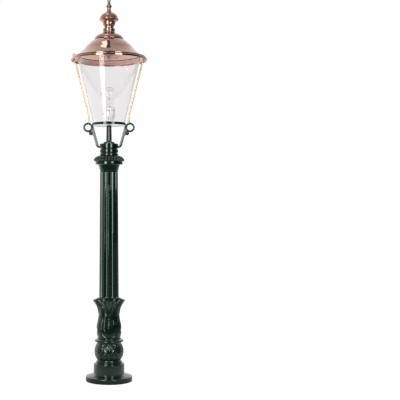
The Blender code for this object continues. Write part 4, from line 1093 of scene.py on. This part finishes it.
def flat_web(points, thickness):
    """A plate in the XZ plane: its outline is drawn, filled and pulled to its thickness."""
    piece = draw([Vector((x, -thickness / 2, z)) * MM for x, z in points])
    bpy.ops.mesh.edge_face_add()
    bpy.ops.mesh.extrude_region_move(TRANSFORM_OT_translate={"value": (0.0, thickness * MM, 0.0)})
    end_edit(merge=False)
    return piece


def upright_peg(x, radius, bottom, top):
    bpy.ops.object.select_all(action="DESELECT")
    bpy.ops.mesh.primitive_cylinder_add(vertices=48, radius=radius * MM, depth=(top - bottom) * MM,
                                        location=(x * MM, 0.0, (bottom + top) / 2 * MM))
    return bpy.context.object


print("casting helpers ready")

# %% [markdown]
# Melted like this, the bars are still round. On the real arm they are flatter, with a low ridge along each face, and
# the web slopes away from the bar. Both follow from how far a point lies from the bar's line, so the points are
# pressed by that distance.

# %% Press, finish and mirror the arm
def press_flat(piece):
    """Press the bars to ovals with a low ridge along their faces, and slope the web away from the bar."""
    points = read_points(piece)
    flat = points[:, (0, 2)]
    to_bar = np.full(len(points), np.inf)
    for start, end in zip(ARM_PATH, ARM_PATH[1:]):
        start, end = np.array(start[:2]), np.array(end[:2])
        share = np.clip((flat - start) @ (end - start) / ((end - start) @ (end - start)), 0.0, 1.0)
        to_bar = np.minimum(to_bar, np.linalg.norm(flat - start - share[:, None] * (end - start), axis=1))
    to_loop = np.abs(np.linalg.norm(flat - np.array(ARM_LOOP), axis=1) - ARM_LOOP_RADIUS)
    depth = np.abs(points[:, 1])
    on_web = (to_bar > ARM_BAR * 0.8) & (to_loop > ARM_LOOP_WIRE * 0.8) & np.all(flat < np.array(ARM_LOOP), axis=1)
    depth = np.where(on_web, depth * WEB_SWELL, depth * BAR_FLATTEN)
    on_face = (to_bar < to_loop) | on_web
    slope = np.maximum(BAR_RIDGE - FACE_SLOPE * to_bar, WEB_THINNEST)
    depth = np.where(on_face, np.minimum(depth, slope), depth)
    points[:, 1] = np.sign(points[:, 1]) * depth
    write_points(piece, points)


def cast_arm():
    bar = curve_bar("right_arm_cast", ARM_PATH, ARM_BAR)
    loop = standing_ring(ARM_LOOP_RADIUS, ARM_LOOP_WIRE, *ARM_LOOP, 64, 20)
    boss = upright_peg(ROD_X, BOSS_RADIUS, ARM_LOOP[1] + ARM_LOOP_RADIUS, BOSS_TOP)
    arm = join([bar, loop, flat_web(ARM_WEB, ARM_WEB_THICKNESS), boss])
    melt(arm, ARM_VOXEL, 2)
    press_flat(arm)
    soften(arm, 3)
    bpy.ops.object.select_all(action="DESELECT")
    bpy.ops.mesh.primitive_uv_sphere_add(segments=40, ring_count=20, radius=ARM_BALL_RADIUS * MM,
                                         location=(ARM_BALL[0] * MM, 0.0, ARM_BALL[1] * MM))
    combine(arm, bpy.context.object, "UNION")
    room = upright_peg(0.0, gallery_radius + FIT, gallery_bottom - FIT, gallery_top + 10.0)
    combine(arm, room, "DIFFERENCE")
    return arm


right_arm = cast_arm()
left_arm = right_arm.copy()
left_arm.data = right_arm.data.copy()
left_arm.name = left_arm.data.name = "left_arm_cast"
bpy.context.scene.collection.objects.link(left_arm)
select_only(left_arm)
left_arm.scale.x = -1.0
bpy.ops.object.transform_apply(location=False, rotation=False, scale=True)
start_edit()
end_edit(merge=False)
dress_green(right_arm, "right_arm")
dress_green(left_arm, "left_arm")


# %% [markdown]
# ## Glass cone
# The lantern glass is a plain cone with a wall of three millimetres. It stands on the pan inside the gallery, and
# its fire-polished rim ends just under the hood's flare.

# %% Turn the glass
GLASS_WALL = 3.0
GLASS_FOOT = 60.2
GLASS_DROP = 5.0
glass_rim, glass_bottom, glass_top = span("glass_cone")
glass_rim -= GLASS_DROP * (glass_rim - GLASS_FOOT) / (glass_top - glass_bottom)
glass_top -= GLASS_DROP
outline = arc((glass_rim - GLASS_WALL / 2, glass_top - GLASS_WALL / 2), GLASS_WALL / 2, 166.0, 14.0, 8)
outline += line((glass_rim - 0.4, glass_top - 2.0), (GLASS_FOOT, glass_bottom + 0.6), 12)
outline += [(GLASS_FOOT - 0.5, glass_bottom), (GLASS_FOOT - GLASS_WALL + 0.5, glass_bottom)]
outline += line((GLASS_FOOT - GLASS_WALL, glass_bottom + 0.6), (glass_rim - GLASS_WALL - 0.4, glass_top - 2.0), 12)
glass = turn("lantern_glass_cone", outline, 192)
dress(glass, "post", LANTERN_GLASS, "glass_cone")


# %% [markdown]
# ## Brass rods
# A brass rod stands in a collar on the boss of each arm, bends and leans out to the brim. The left one ends in a
# small ferrule for the ring screw, and the right one in the eye of the hood's hinge.

# %% Helpers for the rods
ROD_RADIUS = 3.0
ROD_COLLAR = (5.2, 6.0)
ROD_BEND = 1009.0
BEND_LENGTH = 24.0
BEND_STEPS = 8
HINGE = (132.0, 1228.0)
SCREW_X = 134.0
FERRULE = (3.9, 1217.0, 1228.5)
FERRULE_FLOOR = 1220.5
FERRULE_BORE = 2.9
FERRULE_EDGE = 0.5
EYE_RADIUS = 4.0
EYE_WIDTH = 7.6
EYE_HOLE = 2.2
EYE_ROUND = 0.6


def rod_points(side, end):
    lean = (HINGE[0] - ROD_X) / (HINGE[1] - ROD_BEND)
    bend_foot = ROD_BEND - BEND_LENGTH / 2
    points = [(ROD_X, BOSS_TOP + FIT), (ROD_X, bend_foot)]
    for step in range(1, BEND_STEPS + 1):
        share = step / BEND_STEPS
        points.append((ROD_X + lean * BEND_LENGTH * share ** 2 / 2, bend_foot + BEND_LENGTH * share))
    points += line((ROD_X + lean * 30.0, ROD_BEND + 30.0), end[0], 6) + end
    return [(side * x, z, 1.0) for x, z in points]


def cross_peg(x, z, radius, length):
    bpy.ops.object.select_all(action="DESELECT")
    bpy.ops.mesh.primitive_cylinder_add(vertices=48, radius=radius * MM, depth=length * MM,
                                        location=(x * MM, 0.0, z * MM), rotation=(math.pi / 2, 0.0, 0.0))
    return bpy.context.object


def foot_collar(side):
    """The turned collar that a rod stands in on its arm."""
    reach, tall = ROD_COLLAR
    outline = [(0.0, BOSS_TOP), (reach - 0.4, BOSS_TOP), (reach, BOSS_TOP + 0.4), (reach, BOSS_TOP + tall - 2.0)]
    outline += arc((reach - 1.6, BOSS_TOP + tall - 1.6), 1.6, 0.0, 90.0, 5) + [(0.0, BOSS_TOP + tall)]
    return turn("rod_collar", outline, 48, (side * ROD_X, 0.0), closed=False)


print("rods lean out from", ROD_X, "to", HINGE[0], "mm")

# %% Finish the left and the right rod
ferrule_radius, ferrule_bottom, ferrule_top = FERRULE
kink = swell((126.0, 1205.0), (128.4, 1212.0), (133.4, 1211.5), (SCREW_X, ferrule_bottom + 1.0), 8)
left_rod = curve_bar("left_brass_rod", rod_points(-1, kink + [(SCREW_X, ferrule_bottom + 2.0)]), ROD_RADIUS)
outline = [(0.0, ferrule_bottom), (ferrule_radius - FERRULE_EDGE, ferrule_bottom)]
outline += [(ferrule_radius, ferrule_bottom + FERRULE_EDGE), (ferrule_radius, ferrule_top - FERRULE_EDGE)]
outline += [(ferrule_radius - FERRULE_EDGE, ferrule_top), (FERRULE_BORE, ferrule_top)]
outline += [(FERRULE_BORE, FERRULE_FLOOR), (0.0, FERRULE_FLOOR)]
ferrule = turn("ferrule", outline, 48, (-SCREW_X, 0.0), closed=False)
dress(join([left_rod, ferrule, foot_collar(-1)]), "post", ROD_BRASS, "left_rod")

right_rod = curve_bar("right_brass_rod", rod_points(1, [(HINGE[0] - 1.6, HINGE[1] - EYE_RADIUS)]), ROD_RADIUS)
eye = cross_peg(*HINGE, EYE_RADIUS, EYE_WIDTH)
modify(eye, "BEVEL", width=EYE_ROUND * MM, segments=3, limit_method="ANGLE")
bpy.ops.object.transform_apply(location=True, rotation=True, scale=True)
combine(eye, cross_peg(*HINGE, EYE_HOLE, 2 * EYE_WIDTH), "DIFFERENCE")
dress(join([right_rod, eye, foot_collar(1)]), "post", ROD_BRASS, "right_rod")


# %% [markdown]
# ## The hood
# Four spun copper pieces make the hood: the bell with its flare, a small roll, a slanted band and a beaded edge, a
# low dome, a waisted chimney and its cap. The bell is sheet, so its outline runs down the outside, round the bead
# and back up the inside at the sheet's thickness.

# %% Spin the bell
SHEET = 1.6
BELL_HOLE = 16.0
BELL_SHOULDER = 54.5
BELL_MIDDLE = (93.4, 1264.2)
SHOULDER_PULLS = ((68.5, 1292.0), (86.4, 1275.0))
FLARE_PULLS = ((100.4, 1256.0), (117.0, 1239.6))
BELL_FLARE = (133.2, 1231.4)
ROLL = (137.4, 1230.1)
ROLL_RADIUS = 2.4
BAND_TOP = (139.4, 1228.4)
BEAD_RADIUS = 2.2
BEAD_FACE = 3.0
BUSH_HOLE = (4.3, 1226.0, 1260.0)
bell_reach, bell_bottom, bell_top = span("roof_bell")


def inside(points, thickness):
    """The inner face of a sheet: its outer points moved in along their normals, bottom to top."""
    moved = []
    for index, point in enumerate(points):
        before, after = points[max(index - 1, 0)], points[min(index + 1, len(points) - 1)]
        along = Vector((after[0] - before[0], after[1] - before[1])).normalized()
        moved.append((point[0] + along.y * thickness, point[1] - along.x * thickness))
    return moved[::-1]


bell = [(BELL_HOLE, bell_top), (BELL_SHOULDER - 1.5, bell_top)]
bell += swell((BELL_SHOULDER, bell_top - 0.2), *SHOULDER_PULLS, BELL_MIDDLE, 28)
bell += swell(BELL_MIDDLE, *FLARE_PULLS, BELL_FLARE, 28) + [BELL_FLARE]
bead_x, bead_low = bell_reach - BEAD_RADIUS, bell_bottom + BEAD_RADIUS
brim = arc(ROLL, ROLL_RADIUS, 140.0, -30.0, 12)
brim += [(BAND_TOP[0] - 0.8, BAND_TOP[1] + 0.4)] + line(BAND_TOP, (bead_x - 0.9, bead_low + BEAD_FACE + 2.9), 5)
brim += arc((bead_x, bead_low + BEAD_FACE), BEAD_RADIUS, 115.0, 0.0, 9)
brim += arc((bead_x, bead_low), BEAD_RADIUS, 0.0, -180.0, 14)
brim += [(bead_x - BEAD_RADIUS, bead_low + BEAD_FACE), (BAND_TOP[0] - 2.0, BAND_TOP[1] - 1.0)]
brim += [(BELL_FLARE[0] + 0.2, BELL_FLARE[1] - SHEET - 1.0)]
shell = turn("copper_bell", bell + brim + inside(bell, SHEET), 224)
combine(shell, upright_peg(-SCREW_X, *BUSH_HOLE), "DIFFERENCE")
dress(shell, "hood", COPPER, "roof_bell")


# %% [markdown]
# ## Dome, chimney and finial
# The dome, the chimney and its cap are stacked on the bell, with the finial on top. Each bead and fillet on them
# catches its own line of light, so their outlines keep every small step. The dome is a squashed arc of sheet.

# %% Spin the dome
dome_radius, dome_bottom, dome_top = span("dome_cap")
DOME_SQUASH = 0.96 * 26.0 / 55.4
DOME_FOOT = 1.2
DOME_EDGE = 1.0
DOME_HOLE = 14.0
dome = [(DOME_HOLE, dome_top)]
dome += [(radius, dome_bottom + DOME_FOOT + DOME_SQUASH * height)
         for radius, height in arc((0.0, 0.0), dome_radius - 0.6, 72.0, 2.0, 32)]
dome += arc((dome_radius - DOME_EDGE, dome_bottom + DOME_EDGE), DOME_EDGE, 40.0, -60.0, 6)
inner_dome = inside(dome, SHEET)
inner_dome[0] = (dome_radius - 2.0, dome_bottom)
inner_dome = [point for point in inner_dome if point[1] >= dome_bottom]
dress(turn("copper_dome", dome + inner_dome, 176), "hood", SATIN_COPPER, "dome_cap")

# %% [markdown]
# The chimney narrows to a waist above a round bead. Hollow and swelling stretches are curves that meet at named
# points, and the beads are arcs.

# %% Spin the chimney and its cap
CHIMNEY_BORE = 9.0
CHIMNEY_LIP = (23.4, 1360.0)
CHIMNEY_THROAT = (19.4, 1350.6)
CHIMNEY_FILLET = (18.6, 1349.2)
CHIMNEY_WAIST = ((18.4, 1348.2), (18.0, 1340.6))
CHIMNEY_BEAD = (18.6, 1337.2)
BEAD_SIZE = 4.9
CHIMNEY_FLARE = ((22.6, 1333.6), (23.4, 1327.2))
CHIMNEY_FOOT = (21.8, 1.8)
neck_reach, neck_bottom, neck_top = span("chimney_neck")
foot_x, foot_round = CHIMNEY_FOOT
outline = [(CHIMNEY_BORE, neck_top), (neck_reach, neck_top)]
outline += swell((neck_reach, neck_top), (24.6, 1364.0), (23.6, 1362.0), CHIMNEY_LIP, 6)
outline += swell(CHIMNEY_LIP, (23.2, 1356.0), (21.6, 1353.0), CHIMNEY_THROAT, 10)
outline += arc(CHIMNEY_FILLET, 1.0, 50.0, -30.0, 5)
outline += swell(CHIMNEY_WAIST[0], (17.4, 1346.0), (17.2, 1343.0), CHIMNEY_WAIST[1], 8)
outline += arc(CHIMNEY_BEAD, BEAD_SIZE, 96.0, -20.0, 14)
outline += swell(CHIMNEY_FLARE[0], (21.9, 1331.6), (22.0, 1329.0), CHIMNEY_FLARE[1], 6)
outline += arc((foot_x, neck_bottom + foot_round), foot_round, 30.0, -90.0, 8)
outline += [(CHIMNEY_BORE, neck_bottom)]
dress(turn("copper_chimney", outline, 128), "hood", SATIN_COPPER, "chimney_neck")

STUD_HOLE = 3.3
HAT_NECK = 7.4
HAT_SHOULDER = (24.5, 1396.5)
HAT_EDGE = (34.0, 1380.6)
HAT_FILLET = 1.2
BRIM_ROLL = (1375.6, 1.6)
HAT_UNDERSIDE = 26.0
HAT_CEILING = 1392.0
hat_reach, hat_bottom, hat_top = span("chimney_cap")
roll_height, roll_radius = BRIM_ROLL
outline = [(STUD_HOLE, hat_top), (HAT_NECK, hat_top)]
outline += swell((HAT_NECK, hat_top - 0.2), (8.6, 1404.0), (15.0, 1401.6), HAT_SHOULDER, 18)
outline += swell(HAT_SHOULDER, (30.5, 1392.4), (33.4, 1387.0), HAT_EDGE, 16)
outline += arc((HAT_EDGE[0] + HAT_FILLET, HAT_EDGE[1] - 0.4), HAT_FILLET, 180.0, 270.0, 4)
outline += arc((hat_reach - roll_radius, roll_height), roll_radius, 80.0, -60.0, 10)
outline += swell((hat_reach - 1.0, roll_height - 2.0), (34.6, 1371.2), (30.0, 1369.4),
                 (HAT_UNDERSIDE, hat_bottom + 1.0), 10)
outline += [(HAT_UNDERSIDE - 0.6, hat_bottom), (CHIMNEY_BORE, hat_bottom)]
outline += [(CHIMNEY_BORE, HAT_CEILING), (STUD_HOLE, HAT_CEILING)]
dress(turn("copper_chimney_cap", outline, 144), "hood", SATIN_COPPER, "chimney_cap")

# %% [markdown]
# The finial is turned from brass: a knob, a slim neck with a ring, a ball, and a foot that clamps the stack.

# %% Turn the finial
KNOB = (5.0, 2.0)
FINIAL_NECK = (6.6, 1433.2)
FINIAL_RING = (6.4, 1431.6, 1.6)
FINIAL_BALL = (7.4, 1425.8, 3.7)
FINIAL_WAIST = ((8.8, 1421.4), (7.2, 1416.0))
FINIAL_FOOT = (6.4, 1414.4, 1.5)
STUD_TOP = 1424.3
_, finial_bottom, finial_top = span("finial")
outline = [(0.0, finial_top), (2.6, finial_top - 0.2)]
outline += arc((KNOB[0], finial_top - 2.6), KNOB[1], 80.0, -80.0, 10)
outline += [(4.6, finial_top - 5.2)]
outline += swell((4.4, finial_top - 6.0), (4.6, 1440.0), (5.6, 1436.0), FINIAL_NECK, 8)
outline += arc(FINIAL_RING[:2], FINIAL_RING[2], 80.0, -40.0, 6)
outline += [(FINIAL_BALL[0], FINIAL_BALL[1] + 4.0)]
outline += arc(FINIAL_BALL[:2], FINIAL_BALL[2], 75.0, -55.0, 12)
outline += swell(FINIAL_WAIST[0], (7.0, 1420.0), (6.6, 1418.6), FINIAL_WAIST[1], 6)
outline += arc(FINIAL_FOOT[:2], FINIAL_FOOT[2], 60.0, -70.0, 6)
outline += [(FINIAL_WAIST[1][0], finial_bottom), (STUD_HOLE, finial_bottom), (STUD_HOLE, STUD_TOP), (0.0, STUD_TOP)]
dress(turn("brass_finial", outline, 72, closed=False), "hood", BRASS, "finial")


# %% [markdown]
# ## Ring screw
# A captive screw with a ring to turn it by holds the hood down on the left rod. It turns in a short turned bush in
# the flare. Its ring, collar and shank are one piece of brass, so they are melted together like the arms, only finer.

# %% Make the ring screw
BUSH_ENDS = (1228.6, 1234.0)
BUSH_RADII = (2.6, 4.0)
BUSH_EDGE = 0.4
SCREW_TOP = 1235.9
COLLAR = (4.0, 1234.3)
SHANK = (2.3, 1221.5)
RING = (4.3, 1.4)
SCREW_VOXEL = 0.00022
bore, rim = BUSH_RADII
low, high = BUSH_ENDS
outline = [(bore, high), (rim - BUSH_EDGE, high), (rim, high - BUSH_EDGE), (rim, low), (bore, low)]
dress(turn("brass_bush", outline, 48, (-SCREW_X, 0.0)), "hood", BRASS, "brim_bush")
ring = standing_ring(*RING, -SCREW_X, SCREW_TOP + RING[0] + RING[1] / 2, 48, 16)
screw = join([ring, upright_peg(-SCREW_X, *COLLAR, SCREW_TOP), upright_peg(-SCREW_X, *SHANK, SCREW_TOP)])
screw.name = screw.data.name = "brass_ring_screw"
melt(screw, SCREW_VOXEL, 3)
dress(screw, "ring_screw", BRASS, "ring_screw")


# %% [markdown]
# ## Lampholder and bulb
# The lampholder is white porcelain in two parts with a fine joint. The bulb is a clear pear of thin glass. All three
# are turned, and the bulb's inner face is its outer one moved in by the wall.

# %% Turn the lampholder
HOLDER_BORE = 15.4
HOLDER_FLOOR = 1006.0
HOLDER_BELLY = 1013.0
HOLDER_WAIST = (18.5, 990.0)
HOLDER_FOOT = 17.0
CABLE_HOLE = 3.4
NIPPLE_HOLE = 5.3
NIPPLE_ROOF = 986.3
JOINT = 1.3
holder_radius, holder_bottom, holder_top = span("lampholder_body")
outline = [(HOLDER_BORE, holder_top), (holder_radius - JOINT, holder_top)]
outline += upper_edge(holder_radius, holder_top, JOINT, 5) + [(holder_radius, HOLDER_BELLY + 1.0)]
outline += swell((holder_radius, HOLDER_BELLY), (holder_radius, 1004.0), (19.0, 1000.0), HOLDER_WAIST, 14)
outline += swell(HOLDER_WAIST, (18.4, 986.0), (17.4, 982.0), (HOLDER_FOOT, holder_bottom), 6)
outline += [(HOLDER_FOOT, holder_bottom), (NIPPLE_HOLE, holder_bottom), (NIPPLE_HOLE, NIPPLE_ROOF)]
outline += [(CABLE_HOLE, NIPPLE_ROOF), (CABLE_HOLE, HOLDER_FLOOR), (HOLDER_BORE, HOLDER_FLOOR)]
dress(turn("porcelain_body", outline, 96), "post", PORCELAIN_PAINTED_SHADE, "lampholder_body")

collar_radius, collar_bottom, collar_top = span("lampholder_ring")
RING_BORE = 18.5
RING_LIP = 0.8
RING_EDGE = 1.8
outline = [(RING_BORE, collar_top - RING_LIP)]
outline += arc((RING_BORE + RING_LIP, collar_top - RING_LIP), RING_LIP, 180.0, 90.0, 4)
outline += upper_edge(collar_radius, collar_top, RING_EDGE, 6)
outline += lower_edge(collar_radius, collar_bottom, JOINT, 5) + [(RING_BORE, collar_bottom)]
dress(turn("porcelain_ring", outline, 96), "post", PORCELAIN_PAINTED_SHADE, "lampholder_ring")

# %% Blow the bulb
BULB_SINK = 5.0
BULB_SHOULDER = (28.0, 1078.2)
BULB_THROAT = (16.6, 1053.0)
BULB_NECK = 15.5
BULB_WALL = 1.0
bulb_reach, bulb_bottom, bulb_top = span("bulb_glass")
bulb_bottom -= BULB_SINK
pear = arc((0.0, bulb_top - bulb_reach), bulb_reach, 90.0, -20.0, 30)
pear += swell(BULB_SHOULDER, (26.4, 1073.2), (19.4, 1063.0), BULB_THROAT, 14)
pear += swell(BULB_THROAT, (16.0, 1050.6), (15.6, 1048.0), (BULB_NECK, bulb_bottom), 6)
pear += [(BULB_NECK, bulb_bottom)]
inner_pear = inside(pear, BULB_WALL)
inner_pear[-1] = (0.0, bulb_top - BULB_WALL)
bulb = turn("clear_bulb", pear + inner_pear, 96, closed=False)
dress(bulb, "bulb", BULB_GLASS, "bulb_glass")


# %% [markdown]
# ## What the bulb holds
# A flared glass mount carries two lead wires and a support, and the filament zigzags between the leads. Wires are
# curves with a round bevel, made into a mesh. The screw cap is turned: its thread is a row of rings here, because
# from outside no one sees whether it climbs.

# %% Blow the bulb's mount and bend its wires
MOUNT_TOP = 1068.0
LEAD_SPREAD = 7.0
FILAMENT_SPREAD = 12.0
FILAMENT_TOP = 1094.0
FILAMENT_DIP = 3.2
ZIGZAGS = 12
MOUNT_STEM = 2.2
LEAD_WIRE, FILAMENT_WIRE, SUPPORT_WIRE = 0.6, 0.4, 0.5
outline = [(0.0, MOUNT_TOP)] + arc((0.0, MOUNT_TOP - MOUNT_STEM), MOUNT_STEM, 80.0, 0.0, 6)
outline += swell((MOUNT_STEM, 1062.0), (2.4, 1058.0), (4.4, 1055.0), (6.4, 1050.0), 8)
outline += [(9.0, bulb_bottom), (0.0, bulb_bottom)]
dress(turn("glass_mount", outline, 48, closed=False), "bulb", BULB_GLASS, "bulb_mount")

wires = []
for side in (-1, 1):
    lead = [(side * 1.0, MOUNT_TOP + FIT), (side * 2.0, 1074.0), (side * LEAD_SPREAD, 1084.0)]
    lead += [(side * FILAMENT_SPREAD, FILAMENT_TOP)]
    wires.append(curve_bar("lead_wire", [(x, z, 1.0) for x, z in lead], LEAD_WIRE, 3))
zigzag = [(-FILAMENT_SPREAD + 2 * FILAMENT_SPREAD * step / ZIGZAGS, FILAMENT_TOP - FILAMENT_DIP * (step % 2), 1.0)
          for step in range(ZIGZAGS + 1)]
wires.append(curve_bar("filament_wire", zigzag, FILAMENT_WIRE, 3))
support = [(0.0, MOUNT_TOP + FIT, 1.0), (0.0, FILAMENT_TOP, 1.0)]
wires.append(curve_bar("support_wire", support, SUPPORT_WIRE, 3))
filament = join(wires)
filament.name = filament.data.name = "filament_wires"
dress(filament, "bulb", WIRE, "filament")

# %% Turn the screw cap
CAP_CORE = 12.6
CAP_LIP = 14.4
THREADS = 5
THREAD_STEP = 3.4
THREAD_ROUND = 1.0
_, bulb_cap_bottom, bulb_cap_top = span("bulb_cap")
bulb_cap_top -= BULB_SINK
outline = [(0.0, bulb_cap_top), (CAP_LIP, bulb_cap_top)]
outline += arc((CAP_LIP - 0.4, bulb_cap_top - 1.0), 0.7, 60.0, -60.0, 5)
outline += [(CAP_CORE + 0.2, bulb_cap_top - 4.0)]
for thread in range(THREADS):
    crest = bulb_cap_top - 6.5 - THREAD_STEP * thread
    outline += arc((CAP_CORE - 0.4, crest), THREAD_ROUND, 60.0, -60.0, 5)
    outline += [(CAP_CORE - 0.2, crest - THREAD_STEP / 2)]
outline += [(12.0, 1018.6), (7.2, 1012.5), (4.2, bulb_cap_bottom), (0.0, bulb_cap_bottom)]
dress(turn("bulb_screw_cap", outline, 72, closed=False), "bulb", BRASS, "bulb_cap")


# %% [markdown]
# ## Inner pieces that keep their shape
# The clamping rod with its washer and nut, the nipple, the holder's contacts, the roof's stud and the hinge are
# plain parts whose working shapes are already right. They stay, and only take their finish.

# %% Finish the inner pieces
KEPT = {STEEL: ("tie_rod", "tie_rod_washer", "tie_rod_nut", "stem_nipple", "roof_stud", "roof_washer", "roof_nut"),
        BRASS: ("thread_shell", "centre_contact", "hinge_pin"),
        COPPER: ("hinge_cheek_front", "hinge_cheek_rear")}
for material, names in KEPT.items():
    for name in names:
        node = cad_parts[name]
        node.data.materials.clear()
        node.data.materials.append(material)
print("kept:", sum(len(names) for names in KEPT.values()), "nodes")
